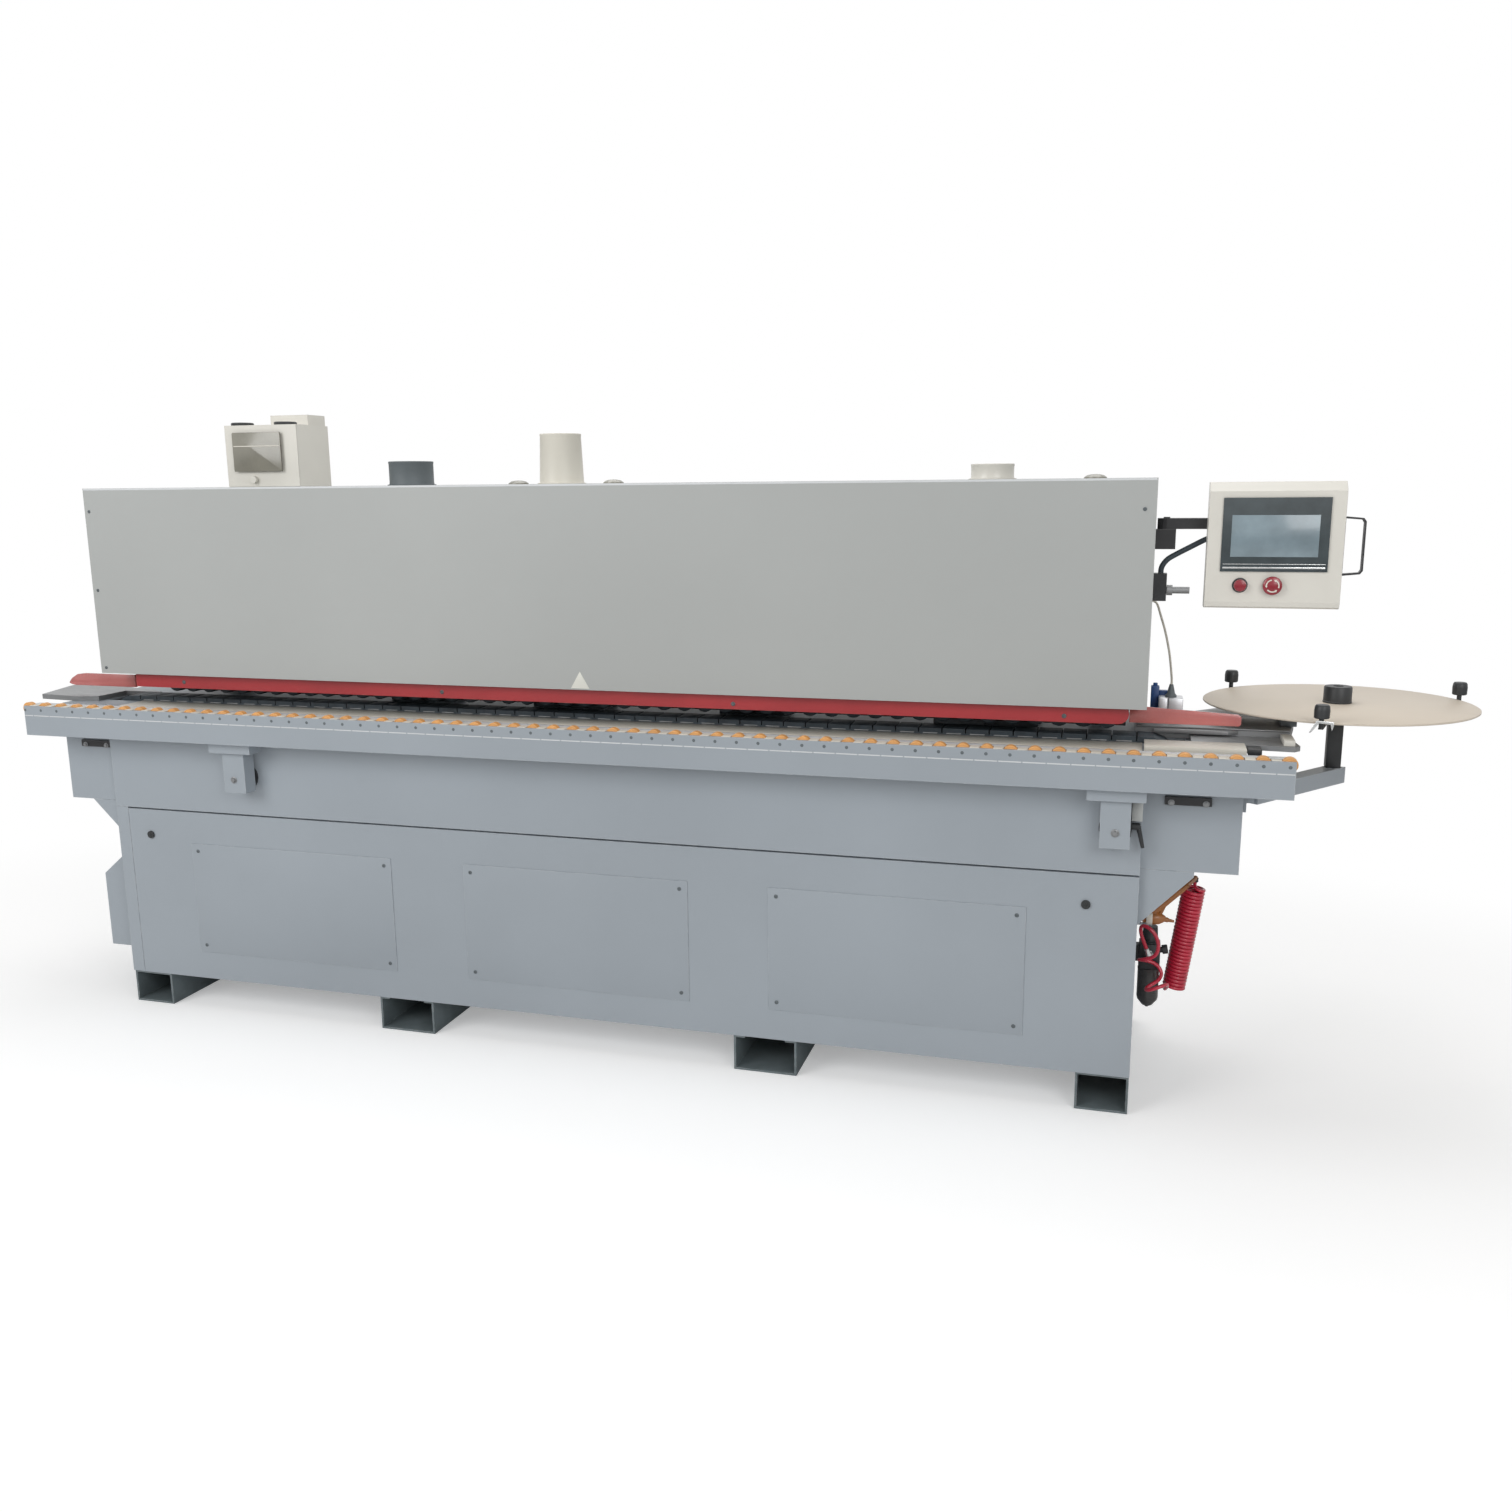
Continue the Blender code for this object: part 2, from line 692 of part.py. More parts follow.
def pad_outline():
    """Outer loop with a groove between every two pads."""
    straight = SPROCKET_RIGHT - SPROCKET_LEFT
    width, depth = PAD_GROOVE
    pads = int(straight / PAD_PITCH)
    first = SPROCKET_LEFT + (straight - pads * PAD_PITCH) / 2
    top, bottom = WORK_Z, TRACK_Z - TRACK_RADIUS
    points = []
    for number in range(pads + 1):
        x = first + number * PAD_PITCH
        points += [
            (x - width / 2, top),
            (x - width / 2, top - depth),
            (x + width / 2, top - depth),
            (x + width / 2, top),
        ]
    points += arc((SPROCKET_RIGHT, TRACK_Z), TRACK_RADIUS, 80, -80, 8)
    for number in range(pads + 1):
        x = first + (pads - number) * PAD_PITCH
        points += [
            (x + width / 2, bottom),
            (x + width / 2, bottom + depth),
            (x - width / 2, bottom + depth),
            (x - width / 2, bottom),
        ]
    points += arc((SPROCKET_LEFT, TRACK_Z), TRACK_RADIUS, 260, 100, 8)
    return points


def pad_chain(root):
    """Endless chain with rubber pads, running round both sprockets."""
    shape = outline_shape(pad_outline(), "Y", PAD_FRONT, PAD_BACK)
    chain = mesh_object("pad_chain", shape, BLACK_RUBBER, root)
    cut(chain, outline_shape(stadium(CHAIN_RADIUS, 12), "Y", PAD_FRONT - 0.01, PAD_BACK + 0.01))
    return chain


def track_guide(root):
    """Hardened rail under the upper run, on three arms from the beam's back wall."""
    top = TRACK_Z + CHAIN_RADIUS - GAP
    guide = box(
        "track_guide",
        (SPROCKET_LEFT + 0.075, PAD_MIDDLE - 0.022, top - 0.030),
        (SPROCKET_RIGHT - 0.075, PAD_MIDDLE + 0.022, top),
        STEEL,
        root,
    )
    for x in (SPROCKET_LEFT + 0.45, -0.05, SPROCKET_RIGHT - 0.45):
        add(
            guide,
            box_shape(
                (x - 0.03, PAD_MIDDLE, top - 0.060),
                (x + 0.03, FRAME_BACK - BEAM_WALL - GAP, top - 0.025),
            ),
        )
    return guide


SPROCKET_TEETH = 12
SPROCKET_HALF = 0.014
SHAFT_RADIUS = 0.015


def sprocket(name, x, back, root):
    """Chain wheel with its shaft, turning about Y."""
    axis = pivot(name + "_axis", (x, PAD_MIDDLE, TRACK_Z), root)
    outer, valley = CHAIN_RADIUS - 0.002, CHAIN_RADIUS - 0.009
    points = []
    for tooth in range(SPROCKET_TEETH):
        for part, radius in ((0.0, outer), (0.25, outer), (0.5, valley), (0.75, valley)):
            turn = 2 * math.pi * (tooth + part) / SPROCKET_TEETH
            points.append((x + radius * math.cos(turn), TRACK_Z + radius * math.sin(turn)))
    shape = outline_shape(points, "Y", PAD_MIDDLE - SPROCKET_HALF, PAD_MIDDLE + SPROCKET_HALF)
    wheel = mesh_object(name, shape, STEEL, axis)
    front = FRAME_FRONT + BEAM_WALL + GAP
    add(
        wheel,
        rod_shape((x, front, TRACK_Z), (x, back, TRACK_Z), SHAFT_RADIUS),
    )
    return wheel


GEARBOX_FRONT = 0.345


def gear_motor(root):
    """Worm gearbox on the drive shaft, with its motor lying along the beam."""
    x = SPROCKET_LEFT
    back = FRAME_BACK - BEAM_WALL - GAP
    gearbox = box(
        "gear_motor",
        (x - 0.065, GEARBOX_FRONT, TRACK_Z - 0.070),
        (x + 0.065, GEARBOX_FRONT + 0.110, TRACK_Z + 0.060),
        CAST_IRON,
        root,
    )
    middle = GEARBOX_FRONT + 0.055
    add(
        gearbox,
        rod_shape((x + 0.06, middle, TRACK_Z - 0.01), (x + 0.34, middle, TRACK_Z - 0.01), 0.058, 24),
        box_shape((x - 0.03, GEARBOX_FRONT + 0.05, TRACK_Z - 0.05), (x + 0.03, back, TRACK_Z + 0.03)),
    )
    bore = SHAFT_RADIUS + 0.0005
    cut(gearbox, rod_shape((x, 0.30, TRACK_Z), (x, GEARBOX_FRONT + 0.045, TRACK_Z), bore))
    return gearbox


# ---------------------------------------------------------------- pressure beam
def pressure_beam(parent):
    """Channel that carries the pressure wheels, with an arm to each post."""
    front = STRIP_Y + STRIP_THICK + GAP
    back, top, sheet = PAD_BACK, 1.140, 0.004
    beam = box(
        "pressure_beam",
        (STRIP_LEFT, front, STRIP_BOTTOM + 0.012),
        (STRIP_RIGHT, back, top),
        CABINET_PAINT,
        parent,
    )
    cut(
        beam,
        box_shape(
            (STRIP_LEFT - 0.01, front + sheet, STRIP_BOTTOM),
            (STRIP_RIGHT + 0.01, back - sheet, top - sheet),
        ),
    )
    for x in POST_XS:
        half = POST_WIDTH / 2 - 0.005
        add(beam, box_shape((x - half, back - sheet, top - 0.045), (x + half, POST_Y[0] - GAP, top)))
    return beam


def pressure_wheels(parent):
    """Row of rubber pressure wheels, joined by the bar that they hang from."""
    span = STRIP_RIGHT - STRIP_LEFT - 0.04
    count = int((span - 2 * WHEEL_RADIUS) / WHEEL_PITCH) + 1
    middle = (STRIP_LEFT + STRIP_RIGHT) / 2
    first = middle - (count - 1) * WHEEL_PITCH / 2
    outline = []
    for number in range(count):
        centre = (first + number * WHEEL_PITCH, WHEEL_Z)
        outline += arc(centre, WHEEL_RADIUS, 180, 360, 8)
    top = 1.140 - 0.004 - GAP
    outline += [(outline[-1][0], top), (outline[0][0], top)]
    shape = outline_shape(outline, "Y", PAD_MIDDLE - WHEEL_WIDTH / 2, PAD_MIDDLE + WHEEL_WIDTH / 2)
    return mesh_object("pressure_wheels", shape, BLACK_RUBBER, parent)


def red_strip(parent):
    """Red guard along the front of the pressure beam, round at its infeed end."""
    radius = STRIP_HEIGHT / 2
    outline = arc((STRIP_RIGHT - radius, STRIP_BOTTOM + radius), radius, 90, -90, 8)
    outline += [(STRIP_LEFT, STRIP_BOTTOM), (STRIP_LEFT, STRIP_BOTTOM + STRIP_HEIGHT)]
    shape = outline_shape(outline, "Y", STRIP_Y, STRIP_Y + STRIP_THICK)
    return mesh_object("red_strip", shape, RED_PAINT, parent)


def height_spindle(root):
    """Cross spindle that raises the pressure beam; a crank fits on its outer end."""
    axis = pivot("height_spindle_axis", (HOOD_RIGHT, SPINDLE_Y, SPINDLE_Z), root)
    spindle = mesh_object(
        "height_spindle",
        rod_shape(
            (HOOD_RIGHT - 0.120, SPINDLE_Y, SPINDLE_Z),
            (HOOD_RIGHT + 0.089, SPINDLE_Y, SPINDLE_Z),
            SPINDLE_RADIUS,
        ),
        STEEL,
        axis,
    )
    add(
        spindle,
        rod_shape(
            (HOOD_RIGHT + 0.034, SPINDLE_Y, SPINDLE_Z),
            (HOOD_RIGHT + 0.048, SPINDLE_Y, SPINDLE_Z),
            0.013,
        ),
        rod_shape(
            (HOOD_RIGHT - 0.122, SPINDLE_Y, SPINDLE_Z),
            (HOOD_RIGHT - 0.096, SPINDLE_Y, SPINDLE_Z),
            0.024,
            20,
        ),
    )
    return spindle


def height_indicator(root):
    """Position indicator block that the spindle passes through."""
    low = (HOOD_RIGHT + GAP, SPINDLE_Y - 0.024, SPINDLE_Z - 0.026)
    high = (HOOD_RIGHT + 0.033, SPINDLE_Y + 0.024, SPINDLE_Z + INDICATOR_TOP)
    block = box("height_indicator", low, high, BLACK_PLASTIC, root)
    cut(block, spindle_hole())
    return block


def spindle_hole():
    start = (HOOD_RIGHT - 0.05, SPINDLE_Y, SPINDLE_Z)
    return rod_shape(start, (HOOD_RIGHT + 0.06, SPINDLE_Y, SPINDLE_Z), SPINDLE_RADIUS + 0.0006)


# ---------------------------------------------------------------- hood and its contents
def upper_frame(root):
    """Two posts on the beam and a rail between them, which carry the hood."""
    top = HOOD_TOP - HOOD_SHEET - GAP
    left, right = POST_XS
    half = POST_WIDTH / 2
    frame = box(
        "upper_frame",
        (left - half, POST_Y[0], BEAM_TOP + GAP),
        (left + half, POST_Y[1], top),
        CABINET_PAINT,
        root,
    )
    add(
        frame,
        box_shape((right - half, POST_Y[0], BEAM_TOP + GAP), (right + half, POST_Y[1], top)),
        box_shape((left - 0.01, POST_Y[0], top - 0.050), (right + 0.01, POST_Y[1], top)),
    )
    return frame


DUST_Y = 0.350
DUST_PORTS = {  # x, foot radius, mouth radius, wall, top and finish
    "grey_dust_port": (-0.650, 0.0665, 0.0665, 0.004, 1.738, GREY_PLASTIC),
    "tall_dust_port": (-0.154, 0.0650, 0.0600, 0.003, 1.810, WHITE_PLASTIC),
    "cream_dust_port": (1.101, 0.0575, 0.0575, 0.004, 1.708, CREAM_PAINT),
}


def dust_hole(name):
    """Clears a dust spigot's bore through the hood's roof."""
    x, radius, _, wall, _, _ = DUST_PORTS[name]
    low, high = (x, DUST_Y, HOOD_TOP - 0.01), (x, DUST_Y, HOOD_TOP + 0.01)
    return rod_shape(low, high, radius - wall - 0.002, 32)


def hood_shell(root):
    """Top, back and ends of the hood in one folded sheet."""
    front = PANEL_Y + HOOD_SHEET + GAP
    shell = box(
        "hood_shell",
        (HOOD_LEFT, front, HOOD_BOTTOM),
        (HOOD_RIGHT, HOOD_BACK, HOOD_TOP),
        HOOD_PAINT,
        root,
    )
    cut(
        shell,
        box_shape(
            (HOOD_LEFT + HOOD_SHEET, front - 0.02, HOOD_BOTTOM - 0.02),
            (HOOD_RIGHT - HOOD_SHEET, HOOD_BACK - HOOD_SHEET, HOOD_TOP - HOOD_SHEET),
        ),
        spindle_hole(),
        *[dust_hole(name) for name in DUST_PORTS],
    )
    return shell


def hood_door(root):
    """Front of the hood, hinged along its top edge."""
    hinge = pivot("hood_door_hinge", (0, PANEL_Y + HOOD_SHEET / 2, HOOD_TOP), root)
    low = (HOOD_LEFT, PANEL_Y, HOOD_BOTTOM)
    high = (HOOD_RIGHT, PANEL_Y + HOOD_SHEET, HOOD_TOP)
    return box("hood_door", low, high, HOOD_PAINT, hinge)


UNIT_BASE = BEAM_TOP + GAP


def glue_unit(root):
    """Glue pot on its base, with the arm that carries the glue roller."""
    unit = box("glue_unit", (1.060, 0.360, UNIT_BASE), (1.240, 0.520, 1.300), CAST_IRON, root)
    add(
        unit,
        box_shape((0.960, 0.310, UNIT_BASE), (1.100, 0.400, UNIT_BASE + 0.026)),
        rod_shape((1.150, 0.440, 1.295), (1.150, 0.440, 1.360), 0.060, 20),
    )
    return unit


def glue_roller(root):
    """Upright roller that spreads the glue on the board's edge."""
    low = UNIT_BASE + 0.026 + GAP
    axis = pivot("glue_roller_axis", (0.995, 0.345, low), root)
    shape = rod_shape((0.995, 0.345, low), (0.995, 0.345, low + 0.090), 0.022, 20)
    roller = mesh_object("glue_roller", shape, STEEL, axis)
    add(roller, rod_shape((0.995, 0.345, low + 0.085), (0.995, 0.345, low + 0.130), 0.008, 12))
    return roller


def end_trim_unit(root):
    """End trimming unit: two saw motors on an inclined slide."""
    x = 0.400
    unit = box("end_trim_unit", (x - 0.100, 0.420, UNIT_BASE), (x + 0.100, 0.520, 1.330), CAST_IRON, root)
    for side in (-1, 1):
        centre = x + side * 0.055
        add(
            unit,
            rod_shape((centre, 0.330, 1.200), (centre, 0.440, 1.200), 0.042, 20),
            rod_shape((centre, 0.318, 1.200), (centre, 0.332, 1.200), 0.050, 24),
        )
    return unit


def flush_trim_unit(root):
    """Flush trimming unit: upper and lower cutter motors in line with the board's edge."""
    x = -0.180
    unit = box("flush_trim_unit", (x - 0.120, 0.400, UNIT_BASE), (x + 0.120, 0.500, 1.360), CAST_IRON, root)
    add(
        unit,
        rod_shape((x, 0.360, 1.100), (x, 0.360, 1.300), 0.045, 20),
        box_shape((x - 0.045, 0.350, 1.140), (x + 0.045, 0.410, 1.260)),
        rod_shape((x, 0.352, 1.075), (x, 0.352, 1.105), 0.030, 20),
    )
    return unit


def buffing_unit(root):
    """Scraping and buffing unit, with its polishing wheel beside the board."""
    x = -0.700
    unit = box("buffing_unit", (x - 0.110, 0.420, UNIT_BASE), (x + 0.110, 0.500, 1.300), CAST_IRON, root)
    add(
        unit,
        rod_shape((x, 0.360, 1.090), (x, 0.430, 1.090), 0.020, 16),
        rod_shape((x, 0.330, 1.090), (x, 0.362, 1.090), 0.060, 28),
        rod_shape((x, 0.430, 1.200), (x, 0.350, 1.200), 0.042, 20),
    )
    return unit


# ---------------------------------------------------------------- on top of the hood
ROOF = HOOD_TOP + GAP
SPRAY_LEFT, SPRAY_RIGHT = -1.225, -0.972
SPRAY_FRONT, SPRAY_BACK = 0.250, 0.412
SPRAY_TOP = 1.851
SPRAY_SHEET = 0.003
TURRET_TOP = 1.888


def spray_box(root):
    """Case of the spray-fluid unit, open at the front, with a taller housing behind it."""
    case = box(
        "spray_box",
        (SPRAY_LEFT, SPRAY_FRONT, ROOF),
        (SPRAY_RIGHT, SPRAY_BACK, SPRAY_TOP),
        CREAM_PAINT,
        root,
    )
    cut(
        case,
        box_shape(
            (SPRAY_LEFT + SPRAY_SHEET, SPRAY_FRONT - 0.01, ROOF + SPRAY_SHEET),
            (SPRAY_RIGHT - SPRAY_SHEET, SPRAY_BACK - SPRAY_SHEET, SPRAY_TOP - SPRAY_SHEET),
        ),
    )
    add(case, box_shape((-1.175, SPRAY_BACK - 0.002, ROOF), (-1.040, SPRAY_BACK + 0.090, TURRET_TOP)))
    return case


def spray_box_door(root):
    """Door of the spray-fluid unit with its sight window and knob."""
    left, right = SPRAY_LEFT, SPRAY_RIGHT
    back = SPRAY_FRONT - GAP
    front = back - SPRAY_SHEET
    hinge = pivot("spray_box_door_hinge", (left, back, ROOF), root)
    door = box("spray_box_door", (left, front, ROOF + 0.001), (right, back, SPRAY_TOP), CREAM_PAINT, hinge)
    window = box_shape(
        (left + 0.031, front - 0.01, ROOF + 0.047), (right - 0.057, back + 0.01, SPRAY_TOP - 0.022)
    )
    cut(door, window)
    knob_x = (left + right) / 2 - 0.030
    add(door, rod_shape((knob_x, front - 0.012, ROOF + 0.022), (knob_x, back - 0.001, ROOF + 0.022), 0.011))
    return door


def dust_port(name, root):
    """Open dust spigot standing over its hole in the hood."""
    x, radius, upper, wall, top, surface = DUST_PORTS[name]
    port = mesh_object(
        name,
        rod_shape((x, DUST_Y, ROOF), (x, DUST_Y, top), radius, 32, upper),
        surface,
        root,
    )
    low, high = (x, DUST_Y, ROOF - 0.01), (x, DUST_Y, top + 0.01)
    cut(port, rod_shape(low, high, radius - wall, 32, upper - wall))
    return port


# ---------------------------------------------------------------- infeed and outfeed
def outfeed_plate(root):
    """Thin plate past the end of the pads, which the finished board slides over."""
    points = [
        (-1.955, 0.170),
        (-1.800, 0.155),
        (-1.735, 0.175),
        (-1.735, PLATE_FRONT),
        (-1.600, PLATE_FRONT),
        (-1.600, PLATE_FRONT + 0.010),
        (-1.850, 0.395),
        (-2.015, 0.370),
    ]
    plate = mesh_object(
        "outfeed_plate", outline_shape(points, "Z", BEAM_TOP + GAP, WORK_Z), STEEL, root
    )
    return plate


def infeed_table(root):
    """Stepped plates at the infeed: a low one before the pads and a higher one behind them."""
    high = [
        (1.500, PLATE_FRONT),
        (1.886, PLATE_FRONT),
        (1.915, 0.495),
        (1.850, 0.576),
        (1.730, 0.646),
        (1.630, 0.543),
        (1.500, 0.543),
    ]
    table = mesh_object(
        "infeed_table", outline_shape(high, "Z", BEAM_TOP + GAP, FENCE_TOP), STEEL, root
    )
    low = [
        (1.640, 0.185),
        (1.885, 0.165),
        (1.900, 0.185),
        (1.886, PLATE_FRONT + 0.004),
        (1.640, PLATE_FRONT + 0.004),
    ]
    add(table, outline_shape(low, "Z", BEAM_TOP + GAP, WORK_Z - 0.003))
    return table


CYLINDER_X = 1.590
CYLINDER_Y = 0.412
CYLINDER_HEIGHT = 0.096


def infeed_cylinder(root):
    """Compact air cylinder that works the infeed stop."""
    half = 0.032
    base = FENCE_TOP + GAP
    body = box(
        "infeed_cylinder",
        (CYLINDER_X - half, CYLINDER_Y - half, base),
        (CYLINDER_X + half, CYLINDER_Y + half, base + 0.066),
        ALUMINIUM,
        root,
    )
    foot = (CYLINDER_X, CYLINDER_Y, base + 0.064)
    add(body, rod_shape(foot, (CYLINDER_X, CYLINDER_Y, base + CYLINDER_HEIGHT), 0.014, 16, 0.006))
    return body


AIR_TUBE_RADIUS = 0.003
AIR_TUBE_ROUTE = (
    (HOOD_RIGHT + 2 * GAP, 0.360, 1.347),
    (HOOD_RIGHT + 0.006, 0.360, 1.347),
    (1.542, 0.361, 1.338),
    (1.552, 0.366, 1.309),
    (1.566, 0.378, 1.265),
    (1.579, 0.392, 1.210),
    (1.586, 0.404, 1.165),
    (CYLINDER_X, CYLINDER_Y, 1.132),
    (CYLINDER_X, CYLINDER_Y, FENCE_TOP + GAP + CYLINDER_HEIGHT + GAP),
)


def air_tube(root):
    """Air line from the hood's end wall down into the top of the cylinder."""
    return tube("air_tube", AIR_TUBE_ROUTE, AIR_TUBE_RADIUS, 4, WHITE_PLASTIC, root)


# ---------------------------------------------------------------- operator panel
def arm_bracket(root):
    """Block on the hood's right end with the arm's pivot pin."""
    top = ARM_Z[0] - GAP
    bracket = box(
        "arm_bracket",
        (HOOD_RIGHT + GAP, ARM_Y - 0.024, 1.491),
        (ARM_PIVOT_X + 0.023, ARM_Y + 0.024, top),
        BLACK_PAINT,
        root,
    )
    add(bracket, arm_pin(ARM_PIVOT_X, top))
    return bracket


def arm_pin(x, base):
    """Pin that stands on the piece under the arm and reaches just above it."""
    return rod_shape((x, ARM_Y, base - 0.002), (x, ARM_Y, ARM_Z[1] + 0.003), ARM_PIN_RADIUS)


def hmi_arm(root):
    """Swinging arm between the hood and the operator panel."""
    axis = pivot("hmi_arm_axis", (ARM_PIVOT_X, ARM_Y, ARM_Z[0]), root)
    outline = arc((ARM_END_X, ARM_Y), 0.020, -90, 90, 8) + arc((ARM_PIVOT_X, ARM_Y), 0.022, 90, 270, 8)
    arm = mesh_object("hmi_arm", outline_shape(outline, "Z", *ARM_Z), BLACK_PAINT, axis)
    for x in (ARM_PIVOT_X, ARM_END_X):
        low, high = (x, ARM_Y, ARM_Z[0] - OVERSHOOT), (x, ARM_Y, ARM_Z[1] + OVERSHOOT)
        cut(arm, rod_shape(low, high, ARM_PIN_RADIUS + 0.0005))
    return axis


SCREEN_X = (1.679, 1.920)
SCREEN_Z = (1.442, 1.617)
SCREEN_LIP = 0.010  # how far the screen's bezel covers the housing's cut-out
HMI_WALL = 0.003
ESTOP = (1.7995, 1.409, 0.0225, 0.006)  # x, z, cap radius and travel
START = (1.7265, 1.409, 0.0150, 0.004)
STEM_RADIUS = 0.008
STEM_REACH = 0.012  # stem length inside the housing
CABLE_ENTRY = (1.700, 0.022, 0.010)  # x, distance from the back, and radius of the hole below


def hmi_box(axis):
    """Hollow panel housing with a sloped top, and the lug that turns on the arm's end."""
    front, back = PANEL_Y, PANEL_Y + HMI_DEPTH
    low, high = HMI_Z
    wall = HMI_WALL
    profile = [
        (front + 0.004, low + 0.004),
        (front + 0.016, low),
        (back, low),
        (back, high),
        (front + 0.026, high),
        (front, high - 0.022),
        (front, low + 0.016),
    ]
    case = mesh_object("hmi_box", outline_shape(profile, "X", *HMI_X), CREAM_PAINT, axis)
    lug_top = ARM_Z[0] - GAP
    lug_low = lug_top - LUG_HEIGHT
    add(
        case,
        box_shape(
            (ARM_END_X - LUG_WIDTH / 2, back - wall / 2, lug_low),
            (ARM_END_X + LUG_WIDTH / 2, ARM_Y, lug_top),
        ),
        rod_shape((ARM_END_X, ARM_Y, lug_low), (ARM_END_X, ARM_Y, lug_top), LUG_WIDTH / 2, 24),
        arm_pin(ARM_END_X, lug_top),
    )
    hollow = [
        (front + wall, low + 0.020),
        (front + 0.020, low + wall),
        (back - wall, low + wall),
        (back - wall, high - wall),
        (front + 0.028, high - wall),
        (front + wall, high - 0.024),
    ]
    lip = SCREEN_LIP - GAP
    entry_x, entry_y = CABLE_ENTRY[0], back - CABLE_ENTRY[1]
    cut(
        case,
        outline_shape(hollow, "X", HMI_X[0] + wall, HMI_X[1] - wall),
        box_shape(
            (SCREEN_X[0] + lip, front - 0.01, SCREEN_Z[0] + lip),
            (SCREEN_X[1] - lip, front + 0.01, SCREEN_Z[1] - lip),
        ),
        *[
            rod_shape((x, front - 0.01, z), (x, front + 0.012, z), STEM_RADIUS + GAP, 20)
            for x, z, _, _ in (ESTOP, START)
        ],
        rod_shape((entry_x, entry_y, low - 0.01), (entry_x, entry_y, low + 0.01), CABLE_ENTRY[2]),
    )
    return case


def hmi_screen(axis):
    """Touch screen module: a bezel on the housing and a body through its cut-out."""
    low = (SCREEN_X[0], PANEL_Y - 0.004, SCREEN_Z[0])
    high = (SCREEN_X[1], PANEL_Y - GAP, SCREEN_Z[1])
    screen = box("hmi_screen", low, high, SCREEN_GLASS, axis)
    lip = SCREEN_LIP
    add(
        screen,
        box_shape(
            (low[0] + lip, low[1] + 0.001, low[2] + lip), (high[0] - lip, PANEL_Y + 0.030, high[2] - lip)
        ),
    )
    return screen


def hmi_handle(axis):
    """Flat-bar grab handle on the right side of the panel."""
    inner = HMI_X[1] + GAP
    outer = inner + 0.048
    low, high = 1.432, 1.572
    y = (PANEL_Y + 0.022, PANEL_Y + 0.042)
    outline = [
        (inner, low),
        (outer - 0.006, low + 0.004),
        (outer, low + 0.012),
        (outer, high - 0.012),
        (outer - 0.006, high - 0.004),
        (inner, high),
    ]
    handle = mesh_object("hmi_handle", outline_shape(outline, "Y", *y), BLACK_PAINT, axis)
    sheet = 0.004
    hollow = [
        (inner - 0.01, low + sheet),
        (outer - 0.008, low + sheet + 0.004),
        (outer - sheet, low + 0.015),
        (outer - sheet, high - 0.015),
        (outer - 0.008, high - sheet - 0.004),
        (inner - 0.01, high - sheet),
    ]
    cut(handle, outline_shape(hollow, "Y", y[0] - 0.01, y[1] + 0.01))
    add(handle, box_shape((inner, y[0], low), (inner + 0.003, y[1], high)))
    return handle


def panel_button(name, sizes, surface, axis):
    """Round push button: a cap off the panel by its travel, on a stem through the panel."""
    x, z, radius, travel = sizes
    button_axis = pivot(name + "_axis", (x, PANEL_Y, z), axis)
    front = PANEL_Y - travel - GAP
    shape = rod_shape((x, front - 0.012, z), (x, front, z), radius * 0.92, 24, radius)
    button = mesh_object(name, shape, surface, button_axis)
    add(button, rod_shape((x, front - 0.004, z), (x, PANEL_Y + STEM_REACH, z), STEM_RADIUS, 20))
    return button


CABLE_RADIUS = 0.007
CABLE_ROUTE = (
    (ARM_END_X - LUG_WIDTH / 2 - GAP, ARM_Y, 1.520),
    (1.768, ARM_Y, 1.520),
    (1.742, ARM_Y, 1.523),
    (1.712, ARM_Y, 1.528),
    (1.682, ARM_Y, 1.527),
    (1.650, ARM_Y, 1.516),
    (1.612, ARM_Y, 1.496),
    (1.581, ARM_Y, 1.479),
    (1.560, ARM_Y, 1.466),
    (1.5485, ARM_Y, 1.452),
    (1.5445, ARM_Y, 1.441),
    (1.544, ARM_Y, SPINDLE_Z + INDICATOR_TOP + 2 * GAP),
)


def hmi_cable(axis):
    """Panel cable, from the lug's round side back to the indicator below the arm's pivot."""
    return tube("hmi_cable", CABLE_ROUTE, CABLE_RADIUS, 3, BLACK_RUBBER, axis)


# ---------------------------------------------------------------- tape tray
TRAY_THICK = 0.006
TRAY_HUB = (0.037, 0.045)  # radius, and height above the tray
PIN_RADIUS = 0.010
PIN_CLEARANCE = 0.0006
PIN_TOP = 0.030  # above the tray
TRAY_TUBE = 0.044
TRAY_ARM_TOP = 0.889
TRAY_POST = 0.018  # half the post's width


def tray_arm(root):
    """Square tube from the beam's end with the post that carries the tray."""
    low, top = TRAY_ARM_TOP - TRAY_TUBE, TRAY_ARM_TOP
    start = Vector((BEAM_RIGHT + 0.023, 0.212))
    end = Vector((TRAY_X, TRAY_Y))
    along = (end - start).normalized()
    side = Vector((-along.y, along.x)) * TRAY_TUBE / 2
    tail = end + along * 0.030
    outline = [start - side, tail - side, end + side, start + side]
    arm = mesh_object("tray_arm", outline_shape(outline, "Z", low, top), CABINET_PAINT, root)
    add(
        arm,
        box_shape((BEAM_RIGHT + GAP, 0.170, low - 0.015), (BEAM_RIGHT + 0.012, 0.250, top + 0.015)),
        box_shape((BEAM_RIGHT + 0.006, 0.190, low + 0.005), (BEAM_RIGHT + 0.032, 0.232, top - 0.005)),
        box_shape(
            (TRAY_X - TRAY_POST, TRAY_Y - TRAY_POST, TRAY_ARM_TOP - 0.004),
            (TRAY_X + TRAY_POST, TRAY_Y + TRAY_POST, TRAY_Z - TRAY_THICK - GAP),
        ),
        rod_shape((TRAY_X, TRAY_Y, TRAY_Z - 0.014), (TRAY_X, TRAY_Y, TRAY_Z + PIN_TOP), PIN_RADIUS),
    )
    return arm


